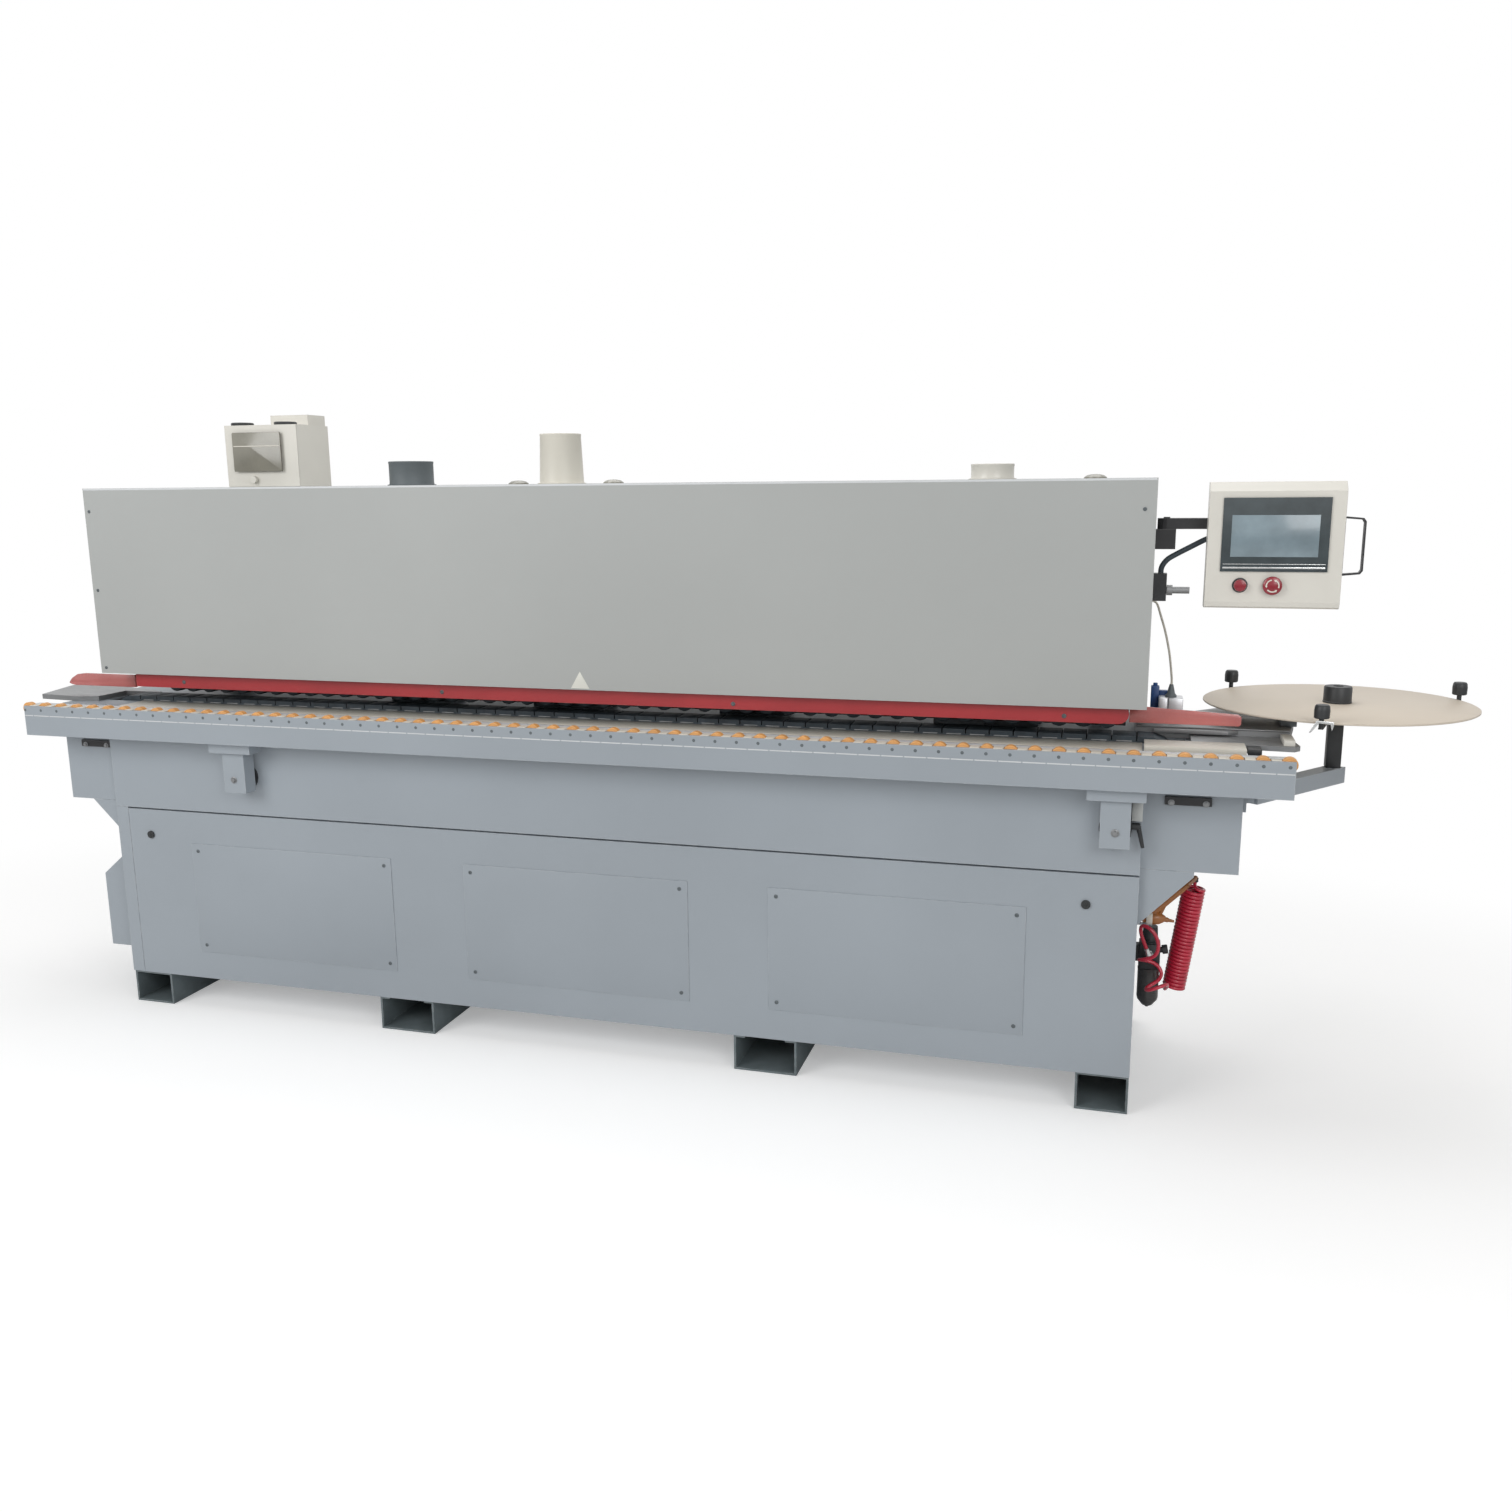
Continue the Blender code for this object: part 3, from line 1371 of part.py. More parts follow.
def tape_tray(root):
    """Round tray that a coil of edging lies on, free to turn on the post."""
    axis = pivot("tape_tray_axis", (TRAY_X, TRAY_Y, TRAY_Z), root)
    low = TRAY_Z - TRAY_THICK
    shape = rod_shape((TRAY_X, TRAY_Y, low), (TRAY_X, TRAY_Y, TRAY_Z), TRAY_RADIUS, 72)
    tray = mesh_object("tape_tray", shape, TRAY_BOARD, axis)
    hub_top = TRAY_Z + TRAY_HUB[1]
    add(tray, rod_shape((TRAY_X, TRAY_Y, low + 0.003), (TRAY_X, TRAY_Y, hub_top), TRAY_HUB[0], 32))
    bore = PIN_RADIUS + PIN_CLEARANCE
    cut(tray, rod_shape((TRAY_X, TRAY_Y, low - 0.01), (TRAY_X, TRAY_Y, TRAY_Z + PIN_TOP + GAP), bore))
    return tray


# ---------------------------------------------------------------- compressed air
AIR_X, AIR_Y = 1.567, 0.300
KNOB_BASE = 0.434
ELBOW_LENGTH = 0.024


HOSE_ROUTE = (
    (1.5575, 0.2455, 0.4200),
    (1.5505, 0.2425, 0.4380),
    (1.5440, 0.2370, 0.4570),
    (1.5405, 0.2280, 0.4760),
    (1.5425, 0.2155, 0.4910),
    (1.5520, 0.2035, 0.4965),
    (1.5670, 0.1955, 0.4895),
    (1.5800, 0.1930, 0.4730),
    (1.5865, 0.1930, 0.4520),
    (1.5850, 0.1945, 0.4300),
    (1.5750, 0.1990, 0.4140),
    (1.5590, 0.2065, 0.4045),
    (1.5455, 0.2180, 0.3970),
    (1.5395, 0.2340, 0.3905),
    (1.5435, 0.2500, 0.3850),
    (1.5580, 0.2600, 0.3805),
    (1.5770, 0.2620, 0.3755),
    (1.5930, 0.2580, 0.3650),
    (1.6000, 0.2530, 0.3485),
    (1.5935, 0.2495, 0.3320),
    (1.5785, 0.2460, 0.3205),
    (1.5650, 0.2355, 0.3135),
    (1.5615, 0.2185, 0.3130),
    (1.5695, 0.2030, 0.3185),
    (1.5850, 0.1965, 0.3270),
    (1.6020, 0.2010, 0.3335),
    (1.6130, 0.2160, 0.3335),
    (1.6165, 0.2360, 0.3240),
    (1.6150, 0.2590, 0.3090),
    (1.6125, 0.2850, 0.2950),
    (1.6120, 0.3180, 0.2870),
)


def air_regulator(root):
    """Filter regulator on the cabinet's right side: bracket, body, bowl and hose elbow."""
    half = 0.028
    start = Vector(HOSE_ROUTE[0])
    towards_elbow = (start - Vector(HOSE_ROUTE[1])).normalized()
    elbow = start + towards_elbow * ELBOW_LENGTH
    body = box(
        "air_regulator",
        (AIR_X - half, AIR_Y - half, 0.348),
        (AIR_X + half, AIR_Y + half, 0.424),
        BLACK_PLASTIC,
        root,
    )
    add(
        body,
        box_shape((PANEL_RIGHT + GAP, AIR_Y - 0.020, 0.370), (AIR_X, AIR_Y + 0.020, 0.412)),
        rod_shape((AIR_X, AIR_Y, 0.250), (AIR_X, AIR_Y, 0.350), 0.029, 24),
        rod_shape((AIR_X, AIR_Y, 0.235), (AIR_X, AIR_Y, 0.252), 0.014, 24, 0.029),
        rod_shape((AIR_X, AIR_Y, 0.422), (AIR_X, AIR_Y, KNOB_BASE), 0.016, 16),
        rod_shape((AIR_X, AIR_Y - half + 0.002, elbow.z), elbow, 0.008, 12),
        rod_shape(elbow, start + towards_elbow * 2 * GAP, 0.0065, 12),
    )
    return body


def regulator_knob(root):
    """Pressure setting knob on top of the regulator."""
    axis = pivot("regulator_knob_axis", (AIR_X, AIR_Y, KNOB_BASE), root)
    shape = rod_shape((AIR_X, AIR_Y, KNOB_BASE + GAP), (AIR_X, AIR_Y, 0.467), 0.021, 20, 0.019)
    return mesh_object("regulator_knob", shape, BLACK_PLASTIC, axis)


def hose_lead(root):
    """Loose loops of the hose, from the regulator's elbow to the coil's lower end."""
    return tube("hose_lead", HOSE_ROUTE, HOSE_RADIUS, 2, RED_HOSE, root)


def hose_coil(root):
    """Outer shape of the close-wound spiral hose."""
    return mesh_object("hose_coil", rod_shape(COIL_BOTTOM, COIL_TOP, COIL_RADIUS, 20), RED_HOSE, root)


def air_gun(root):
    """Blow gun lying on the cabinet's peg, its grip ending in the fitting of the coil."""
    x, y, z = GUN_HEAD
    top = Vector(COIL_TOP)
    along = (top - Vector(COIL_BOTTOM)).normalized()
    fitting = top + along * 0.024
    grip_end = (fitting.x - 0.008, y, fitting.z)
    gun = mesh_object(
        "air_gun", rod_shape((x + 0.004, y, z + 0.010), grip_end, 0.011, 12), GUN_PLASTIC, root
    )
    add(
        gun,
        rod_shape((x - 0.016, y, z), (x + 0.030, y, z), GUN_HEAD_RADIUS, 16),
        rod_shape((x + 0.026, y, z - 0.002), (x + 0.068, y, z - 0.006), 0.005, 10),
        rod_shape(
            (grip_end[0] - 0.004, y, grip_end[2] - 0.002),
            (fitting.x, top.y + 0.007, fitting.z),
            0.008,
            12,
        ),
        rod_shape(top + along * GAP, fitting, 0.009, 12),
    )
    return gun


# ---------------------------------------------------------------- the whole machine
def clear_scene():
    for found in list(bpy.data.objects):
        bpy.data.objects.remove(found, do_unlink=True)


def build():
    root = pivot("edge_bander", (0, 0, 0))
    base_beam(root)
    cabinet_shell(root)
    upper_fascia(root)
    front_panel(root)
    feet(root)
    side_box(root)

    rail = pivot("rail_slide", (0, RAIL_DEPTH, RAIL_BOTTOM), root)
    support_rail(rail)
    roller_row(rail)
    for side, x in zip(("left", "right"), BRACKET_XS):
        rail_bracket(f"rail_bracket_{side}", x, rail)
        guide_bush(f"guide_bush_{side}", x, root)
    clamp_lever(root)

    pad_chain(root)
    track_guide(root)
    sprocket("drive_sprocket", SPROCKET_LEFT, GEARBOX_FRONT + 0.040, root)
    sprocket("idler_sprocket", SPROCKET_RIGHT, FRAME_BACK - BEAM_WALL - GAP, root)
    gear_motor(root)

    press = pivot("pressure_slide", (0, POST_Y[0], WHEEL_Z), root)
    pressure_beam(press)
    pressure_wheels(press)
    red_strip(press)
    height_spindle(root)
    height_indicator(root)

    upper_frame(root)
    hood_shell(root)
    hood_door(root)
    glue_unit(root)
    glue_roller(root)
    end_trim_unit(root)
    flush_trim_unit(root)
    buffing_unit(root)

    spray_box(root)
    spray_box_door(root)
    for name in DUST_PORTS:
        dust_port(name, root)

    outfeed_plate(root)
    infeed_table(root)
    infeed_cylinder(root)
    air_tube(root)

    arm_bracket(root)
    arm = hmi_arm(root)
    swivel = pivot("hmi_swivel_axis", (ARM_END_X, ARM_Y, ARM_Z[0]), arm)
    hmi_box(swivel)
    hmi_screen(swivel)
    hmi_handle(swivel)
    panel_button("estop_button", ESTOP, RED_PLASTIC, swivel)
    panel_button("start_button", START, RED_PLASTIC, swivel)
    hmi_cable(arm)

    tray_arm(root)
    tape_tray(root)

    air_regulator(root)
    regulator_knob(root)
    hose_lead(root)
    hose_coil(root)
    air_gun(root)
    return root


CORD_PIECES = ("hose_lead", "hose_coil", "air_gun")


def set_origin(root):
    """Moves the machine so that the middle of its base is at the origin."""
    bpy.context.view_layer.update()
    graph = bpy.context.evaluated_depsgraph_get()
    low, high = [math.inf] * 2, [-math.inf] * 2
    for found in bpy.context.scene.objects:
        if found.hide_render or found.type not in ("MESH", "CURVE") or found.name in CORD_PIECES:
            continue
        shown = found.evaluated_get(graph)
        for corner in shown.to_mesh().vertices:
            place = shown.matrix_world @ corner.co
            low = [min(a, b) for a, b in zip(low, place)]
            high = [max(a, b) for a, b in zip(high, place)]
        shown.to_mesh_clear()
    root.location = (-(low[0] + high[0]) / 2, -(low[1] + high[1]) / 2, 0)


clear_scene()
set_origin(build())
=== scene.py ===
# %% [markdown]
# # An edge banding machine, finished piece by piece
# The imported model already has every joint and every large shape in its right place. This lesson loads
# it, keeps what is right, gives each surface a finish made of nodes, and adds the small pieces that make
# a machine look real: rollers, screws, covers, guards, the spiral air hose. Everything is in metres.

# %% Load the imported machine
from math import cos, pi, radians, sin, tau

import bmesh
import bpy
from mathutils import Matrix, Vector


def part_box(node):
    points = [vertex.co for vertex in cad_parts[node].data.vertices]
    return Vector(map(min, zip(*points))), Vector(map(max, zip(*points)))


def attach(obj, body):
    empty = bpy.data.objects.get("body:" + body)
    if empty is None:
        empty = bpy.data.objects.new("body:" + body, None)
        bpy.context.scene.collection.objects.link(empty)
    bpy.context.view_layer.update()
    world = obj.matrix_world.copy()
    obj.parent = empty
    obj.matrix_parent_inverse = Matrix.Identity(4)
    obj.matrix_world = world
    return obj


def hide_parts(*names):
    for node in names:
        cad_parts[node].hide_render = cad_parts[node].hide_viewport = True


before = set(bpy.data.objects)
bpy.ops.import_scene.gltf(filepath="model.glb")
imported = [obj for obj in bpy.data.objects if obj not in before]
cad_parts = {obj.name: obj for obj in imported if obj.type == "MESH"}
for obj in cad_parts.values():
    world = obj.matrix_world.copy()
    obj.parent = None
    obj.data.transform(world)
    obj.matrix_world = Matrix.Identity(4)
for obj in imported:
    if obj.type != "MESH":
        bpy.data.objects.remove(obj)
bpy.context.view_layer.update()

scene = bpy.context.scene

# %% [markdown]
# A machine is easiest to measure from its own datum. Here X is 0 at the middle of the roller row and Y
# is 0 at the front of the support rail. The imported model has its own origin, so one small function turns
# machine measures into the model's.

# %% The machine's own datum
rail_low, rail_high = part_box("support_rail")
row_low, row_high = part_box("roller_row")
DATUM = Vector(((row_low.x + row_high.x) / 2, rail_low.y, 0))


def machine(x, y, z):
    """A point given in machine measures, in the model's own frame."""
    return Vector((x, y, z)) + DATUM


print("datum at", [round(value, 4) for value in DATUM])

# %% [markdown]
# ## Camera, floor and light
# The camera stands to the right of the machine's middle, at eye height, turned left and tipped down a
# little. The turn, tilt and roll are three rotations, multiplied in that order.

# %% Camera
TURN, TILT, ROLL = radians(16.11), radians(-11.41), radians(-0.496)
lens = bpy.data.cameras.new("camera")
lens.lens = 31.42
lens.sensor_width = 36
camera = bpy.data.objects.new("camera", lens)
camera.matrix_world = (
    Matrix.Translation(machine(1.4895, -3.3073, 1.6454)) @ Matrix.Rotation(TURN, 4, "Z")
    @ Matrix.Rotation(radians(90) + TILT, 4, "X") @ Matrix.Rotation(ROLL, 4, "Z"))
scene.collection.objects.link(camera)
scene.camera = camera
print("camera at", [round(value, 3) for value in camera.location])

# %% [markdown]
# Even, soft light shows shapes best. Two large area lamps in front and one above do most of the work.

# %% Lamps
def softbox(name, place, aim, size, power):
    """A square area lamp at a place, turned towards a point."""
    lamp = bpy.data.lights.new(name, "AREA")
    lamp.shape = "SQUARE"
    lamp.size = size
    lamp.energy = power
    made = bpy.data.objects.new(name, lamp)
    made.location = place
    made.rotation_euler = (Vector(aim) - Vector(place)).to_track_quat("-Z", "Y").to_euler()
    scene.collection.objects.link(made)
    print(name, power, "W")


softbox("front_left_lamp", (-3.4, -5.0, 3.6), (-0.2, 0, 0.7), 3.2, 142)
softbox("front_right_lamp", (3.6, -4.6, 3.2), (0.4, 0, 0.8), 2.6, 78)
softbox("top_lamp", (0.0, 0.6, 4.6), (0, 0.1, 0.8), 4.0, 92)

# %% [markdown]
# The world fills the shadows. Rays that come straight from the camera, or from a mirror or a pane of
# glass, see a white world instead, so the background is white and no extra light falls on the machine.
# Node trees are long to write out, so two helpers add a node with its values and wire nodes up.

# %% World
AMBIENT = 0.36


def add_node(tree, kind, operation=None, **values):
    """Adds a shader node of a kind, with its operation and the values of some inputs."""
    made = tree.nodes.new("ShaderNode" + kind)
    if operation:
        made.operation = operation
    for socket, value in values.items():
        made.inputs[socket.replace("_", " ")].default_value = value
    return made


def wire(tree, *pairs):
    """Links outputs to inputs, pair by pair."""
    for start, end in pairs:
        tree.links.new(start, end)


world = bpy.data.worlds.new("studio")
scene.world = world
world.use_nodes = True
sky = world.node_tree
sky.nodes.clear()
ray = add_node(sky, "LightPath").outputs
seen = add_node(sky, "Math", "MAXIMUM")
seen_in_glass = add_node(sky, "Math", "MAXIMUM")
white = add_node(sky, "Background", Strength=1.0, Color=(1, 1, 1, 1))
fill = add_node(sky, "Background", Strength=AMBIENT, Color=(1.0, 0.995, 0.985, 1))
either = add_node(sky, "MixShader")
surround = add_node(sky, "OutputWorld")
wire(sky, (ray["Is Camera Ray"], seen.inputs[0]), (ray["Is Glossy Ray"], seen.inputs[1]),
     (seen.outputs[0], seen_in_glass.inputs[0]), (ray["Is Transmission Ray"], seen_in_glass.inputs[1]),
     (seen_in_glass.outputs[0], either.inputs[0]), (fill.outputs[0], either.inputs[1]),
     (white.outputs[0], either.inputs[2]), (either.outputs[0], surround.inputs[0]))
scene.view_settings.view_transform = "Standard"
print("world has", len(sky.nodes), "nodes")

# %% [markdown]
# The floor is one large square. Its paint is nearly white, and a little white is added to what the
# camera sees of it. Away from the machine the camera sees pure white, so there is no horizon, while the
# machine keeps its soft shadow.

# %% Floor
ground = bmesh.new()
bmesh.ops.create_grid(ground, x_segments=1, y_segments=1, size=60)
bmesh.ops.translate(ground, vec=(0, 0, -0.0005), verts=ground.verts)
floor_mesh = bpy.data.meshes.new("floor")
ground.to_mesh(floor_mesh)
ground.free()
floor = bpy.data.objects.new("floor", floor_mesh)
scene.collection.objects.link(floor)
pale = bpy.data.materials.new("pale floor")
pale.use_nodes = True
tree = pale.node_tree
near = tree.nodes["Principled BSDF"]
near.inputs["Base Color"].default_value = (0.86, 0.86, 0.86, 1)
near.inputs["Roughness"].default_value = 0.9
near.inputs["Emission Color"].default_value = (1, 1, 1, 1)
from_camera = add_node(tree, "LightPath").outputs["Is Camera Ray"]
part_of_white = add_node(tree, "Math", "MULTIPLY")
part_of_white.inputs[1].default_value = 0.3
spot = add_node(tree, "TexCoord")
squeeze = add_node(tree, "Mapping", Scale=(0.62, 1, 1))
away = add_node(tree, "VectorMath", "LENGTH")
fade = add_node(tree, "MapRange", From_Min=1.2, From_Max=2.7)
fade.interpolation_type = "SMOOTHSTEP"
only_seen = add_node(tree, "Math", "MULTIPLY")
far = add_node(tree, "Emission")
blend = add_node(tree, "MixShader")
wire(tree, (from_camera, part_of_white.inputs[0]),
     (part_of_white.outputs[0], near.inputs["Emission Strength"]),
     (spot.outputs["Object"], squeeze.inputs["Vector"]), (squeeze.outputs["Vector"], away.inputs[0]),
     (away.outputs["Value"], fade.inputs["Value"]), (fade.outputs["Result"], only_seen.inputs[0]),
     (from_camera, only_seen.inputs[1]), (only_seen.outputs[0], blend.inputs[0]),
     (near.outputs[0], blend.inputs[1]), (far.outputs[0], blend.inputs[2]),
     (blend.outputs[0], tree.nodes["Material Output"].inputs["Surface"]))
floor_mesh.materials.append(pale)
print("floor laid, with", len(tree.nodes), "nodes")

# %% [markdown]
# ## Finishes
# Sprayed powder, moulded plastic and ground steel all share one recipe: a broad noise makes the colour
# drift a little, a fine noise roughens the gloss and gives the surface its grain, and a Bevel node
# rounds the light on sharp edges the way a folded sheet does. Wear is a second colour that shows only
# where that rounding is strong and a patchy noise allows it. One function builds them all from numbers.

# %% Noise, ranges and worn edges
def noise(tree, scale, detail, vector):
    """A Noise texture of a scale and detail, reading a vector."""
    made = add_node(tree, "TexNoise", Scale=scale, Detail=detail)
    wire(tree, (vector, made.inputs["Vector"]))
    return made.outputs["Fac"]


def ranged(tree, value, low, high, to_low, to_high):
    """Turns values between low and high into values between to_low and to_high."""
    made = add_node(tree, "MapRange", From_Min=low, From_Max=high, To_Min=to_low, To_Max=to_high)
    wire(tree, (value, made.inputs["Value"]))
    return made.outputs["Result"]


def worn_edges(tree, place, paint, worn):
    """Mixes a worn colour over a paint, in patches along the edges."""
    flat = add_node(tree, "NewGeometry")
    wide = add_node(tree, "Bevel", Radius=0.003)
    wide.samples = 3
    match = add_node(tree, "VectorMath", "DOT_PRODUCT")
    both = add_node(tree, "Math", "MULTIPLY")
    over = add_node(tree, "Mix")
    over.data_type = "RGBA"
    over.inputs["B"].default_value = (*worn, 1)
    patchy = ranged(tree, noise(tree, 38.0, 4.0, place), 0.42, 0.58, 0.0, 1.0)
    corner = ranged(tree, match.outputs["Value"], 0.99, 0.86, 0.0, 1.0)
    wire(tree, (wide.outputs["Normal"], match.inputs[0]), (flat.outputs["Normal"], match.inputs[1]),
         (corner, both.inputs[0]), (patchy, both.inputs[1]), (both.outputs[0], over.inputs["Factor"]),
         (paint, over.inputs["A"]))
    return over.outputs["Result"]


print("a worn edge mixes two colours by the angle of the surface")

# %% One recipe for every finish
FINISH = {}


def finish(slot, name, colour, drift=0.06, patch=2.2, rough=0.45, spread=0.07, grain=650.0, bump=0.12,
           metal=0.0, coat=0.0, edge=0.0012, stretch=(1, 1, 1), worn=None):
    """Builds one finish and keeps it under the name of the record's slot."""
    made = bpy.data.materials.new(name)
    made.use_nodes = True
    tree = made.node_tree
    shader = tree.nodes["Principled BSDF"]
    for socket, value in (("Metallic", metal), ("Coat Weight", coat), ("Coat Roughness", 0.12)):
        shader.inputs[socket].default_value = value
    place = add_node(tree, "TexCoord").outputs["Object"]
    grind = add_node(tree, "Mapping", Scale=stretch)
    wire(tree, (place, grind.inputs["Vector"]))
    broad = noise(tree, patch, 5.0, grind.outputs["Vector"])
    fine = noise(tree, grain, 2.0, grind.outputs["Vector"])
    tint = add_node(tree, "ValToRGB")
    dark, light = tint.color_ramp.elements
    dark.position, light.position = 0.32, 0.68
    dark.color = (*[part * (1 - drift) for part in colour], 1)
    light.color = (*[min(1, part * (1 + drift)) for part in colour], 1)
    shine = ranged(tree, fine, 0.3, 0.7, max(0.02, rough - spread), min(1, rough + spread))
    relief = add_node(tree, "Bump", Strength=bump, Distance=0.0004)
    if edge:
        rounding = add_node(tree, "Bevel", Radius=edge)
        rounding.samples = 3
        wire(tree, (rounding.outputs["Normal"], relief.inputs["Normal"]))
    paint = tint.outputs["Color"]
    if worn:
        paint = worn_edges(tree, place, paint, worn)
    wire(tree, (broad, tint.inputs["Fac"]), (shine, shader.inputs["Roughness"]),
         (fine, relief.inputs["Height"]), (relief.outputs["Normal"], shader.inputs["Normal"]),
         (paint, shader.inputs["Base Color"]))
    FINISH[slot] = made
    return shader


print("recipe ready")

# %% [markdown]
# The numbers below are the difference between the finishes. Powder coat has a fine orange peel, a
# little gloss and lighter edges. Rubber is rough and nearly black with a blue cast. Steel is metallic
# with its noise stretched along X, which reads as grinding marks.

# %% Paints
finish("cabinet_paint", "blue grey powder coat", (0.335, 0.372, 0.408), drift=0.05, patch=1.3,
       worn=(0.55, 0.58, 0.6))
finish("hood_paint", "warm grey powder coat", (0.41, 0.424, 0.415), drift=0.035, patch=1.1,
       worn=(0.62, 0.63, 0.61))
finish("foot_paint", "slate foot paint", (0.135, 0.165, 0.175), drift=0.22, patch=9.0, rough=0.6,
       worn=(0.42, 0.45, 0.47))
finish("cream_paint", "cream enamel", (0.7, 0.68, 0.62), drift=0.03, patch=5.0, rough=0.36, coat=0.2)
finish("black_paint", "satin black paint", (0.018, 0.018, 0.02), drift=0.2, patch=8.0, rough=0.4,
       worn=(0.16, 0.16, 0.16))
finish("red_paint", "red enamel", (0.42, 0.03, 0.036), drift=0.1, patch=5.0, rough=0.34, coat=0.25,
       worn=(0.55, 0.16, 0.13))
finish("cast_iron", "painted casting", (0.1, 0.11, 0.12), drift=0.25, patch=12.0, rough=0.6, metal=0.3,
       grain=240.0, bump=0.4, worn=(0.3, 0.3, 0.3))
print(sorted(FINISH))

# %% Plastics, rubber and metals
finish("orange_plastic", "orange roller plastic", (0.78, 0.39, 0.13), drift=0.1, patch=18.0, rough=0.38,
       coat=0.1)
finish("black_rubber", "pad rubber", (0.036, 0.05, 0.062), drift=0.3, patch=26.0, rough=0.62,
       grain=420.0, bump=0.3, worn=(0.11, 0.125, 0.14))
finish("black_plastic", "moulded black", (0.022, 0.024, 0.026), drift=0.18, patch=20.0)
finish("grey_plastic", "moulded slate grey", (0.12, 0.14, 0.15), drift=0.1, patch=10.0, rough=0.5)
finish("white_plastic", "off-white plastic", (0.72, 0.69, 0.61), drift=0.03, patch=9.0, rough=0.42)
finish("blue_plastic", "blue valve plastic", (0.02, 0.075, 0.24), drift=0.15, patch=30.0, rough=0.35)
finish("red_plastic", "button red", (0.26, 0.01, 0.022), drift=0.1, patch=30.0, rough=0.25, coat=0.4)
finish("gun_plastic", "amber gun plastic", (0.36, 0.135, 0.035), drift=0.15, patch=24.0, rough=0.35,
       coat=0.2)
# Painted highlight: a light grey that stands for light on folded edges, and on tops whose own paint would lie
# in shade.
finish("painted_highlight", "light on the folded edge", (0.66, 0.68, 0.69), drift=0.03, patch=9.0, rough=0.35)
finish("tray_board", "laminated board", (0.68, 0.6, 0.5), drift=0.035, patch=3.0, rough=0.5, bump=0.05)
finish("sticker", "plain vinyl", (0.7, 0.7, 0.64), drift=0.02, patch=30.0, rough=0.4, edge=0)
finish("steel", "ground steel", (0.27, 0.275, 0.28), drift=0.16, patch=7.0, rough=0.42, spread=0.12,
       metal=0.55, grain=380.0, stretch=(0.06, 1, 1))
finish("aluminium", "anodised aluminium", (0.66, 0.67, 0.69), drift=0.05, patch=10.0, rough=0.38, metal=0.7)
finish("zinc", "bright zinc", (0.62, 0.63, 0.63), drift=0.1, patch=60.0, rough=0.25, metal=0.95)
print(len(FINISH), "finishes so far")

# %% [markdown]
# The last finishes are clear or shiny plastics. The guards let a share of the light through, and the
# hose has a coat for its long highlight. The screen, its film, the smoked bowl and the fluid window are
# dark panes with a coat, whose colour drifts in wide soft bands.

# %% Tinted and glassy finishes
finish("red_hose", "clear red hose", (0.56, 0.018, 0.05), drift=0.16, patch=14.0, rough=0.28, coat=0.35,
       bump=0.04, edge=0)
guard_red = finish("red_guard", "clear red guard", (0.7, 0.23, 0.215), drift=0.12, patch=6.0, rough=0.22,
    coat=0.3, bump=0.02)
guard_red.inputs["Transmission Weight"].default_value = 0.35
guard_red.inputs["IOR"].default_value = 1.49
glass = finish("screen_glass", "dark touch screen", (0.045, 0.06, 0.066), drift=0.35, patch=9.0, rough=0.12,
    spread=0.03, coat=0.6, bump=0.01, edge=0.0008)
glass.inputs["Coat Roughness"].default_value = 0.04
finish("smoked_bowl", "smoked bowl", (0.04, 0.038, 0.037), drift=0.15, patch=20.0, rough=0.28, coat=0.2)
finish("fluid_window", "olive window", (0.235, 0.225, 0.185), drift=0.12, patch=14.0, rough=0.22, coat=0.3)
finish("lit_film", "grey film behind glass", (0.205, 0.27, 0.305), drift=0.22, patch=11.0, rough=0.2,
       coat=0.5)
print(len(FINISH), "finishes")

# %% [markdown]
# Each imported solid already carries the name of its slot, so one loop gives all sixty their finish. The
# meshes themselves are never touched.

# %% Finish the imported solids
for name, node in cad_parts.items():
    for holder in node.material_slots:
        slot = holder.material.name.split(".")[0]
        holder.material = FINISH[slot]
print("finished", len(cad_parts), "solids")

# %% [markdown]
# ## Small tools for new pieces
# Real small pieces are sawn, turned or cast, so four makers are enough. block() saws, turned() works
# like a lathe by spinning a profile, rod() is a turned bar between two points, and slab() cuts an
# outline out of plate. Sawn edges are bevelled, because nothing real is perfectly sharp.

# %% Sawing, turning and cutting plate
SHARP = radians(30)


def soften(part, width, steps=2):
    """Rounds every edge where two faces meet at a clear angle."""
    sharp = [edge for edge in part.edges if len(edge.link_faces) == 2 and edge.calc_face_angle() > SHARP]
    bmesh.ops.bevel(part, geom=sharp, offset=width, segments=steps, profile=0.5, affect="EDGES",
        material=-1, clamp_overlap=True)
    return part


def block(low, high, edge=0.001):
    """A rectangular block between two corners, its edges rounded."""
    part = bmesh.new()
    bmesh.ops.create_cube(part, size=1)
    low, high = machine(*low), machine(*high)
    bmesh.ops.scale(part, vec=high - low, verts=part.verts)
    bmesh.ops.translate(part, vec=(low + high) / 2, verts=part.verts)
    return soften(part, edge) if edge else part


def turned(profile, foot, axis=(0, 0, 1), steps=32, ring=False):
    """A lathe: spins (radius, height) points round an axis that starts at foot."""
    part = bmesh.new()
    line = [part.verts.new((radius, 0, height)) for radius, height in profile]
    following = line[1:] + line[:1] if ring else line[1:]
    edges = [part.edges.new(pair) for pair in zip(line, following)]
    bmesh.ops.spin(part, geom=line + edges, cent=(0, 0, 0), axis=(0, 0, 1), angle=tau, steps=steps,
        use_merge=True)
    bmesh.ops.remove_doubles(part, verts=part.verts, dist=1e-6)
    bmesh.ops.recalc_face_normals(part, faces=part.faces)
    turn = Vector(axis).to_track_quat("Z", "Y").to_matrix().to_4x4()
    bmesh.ops.transform(part, matrix=Matrix.Translation(machine(*foot)) @ turn, verts=part.verts)
    return part


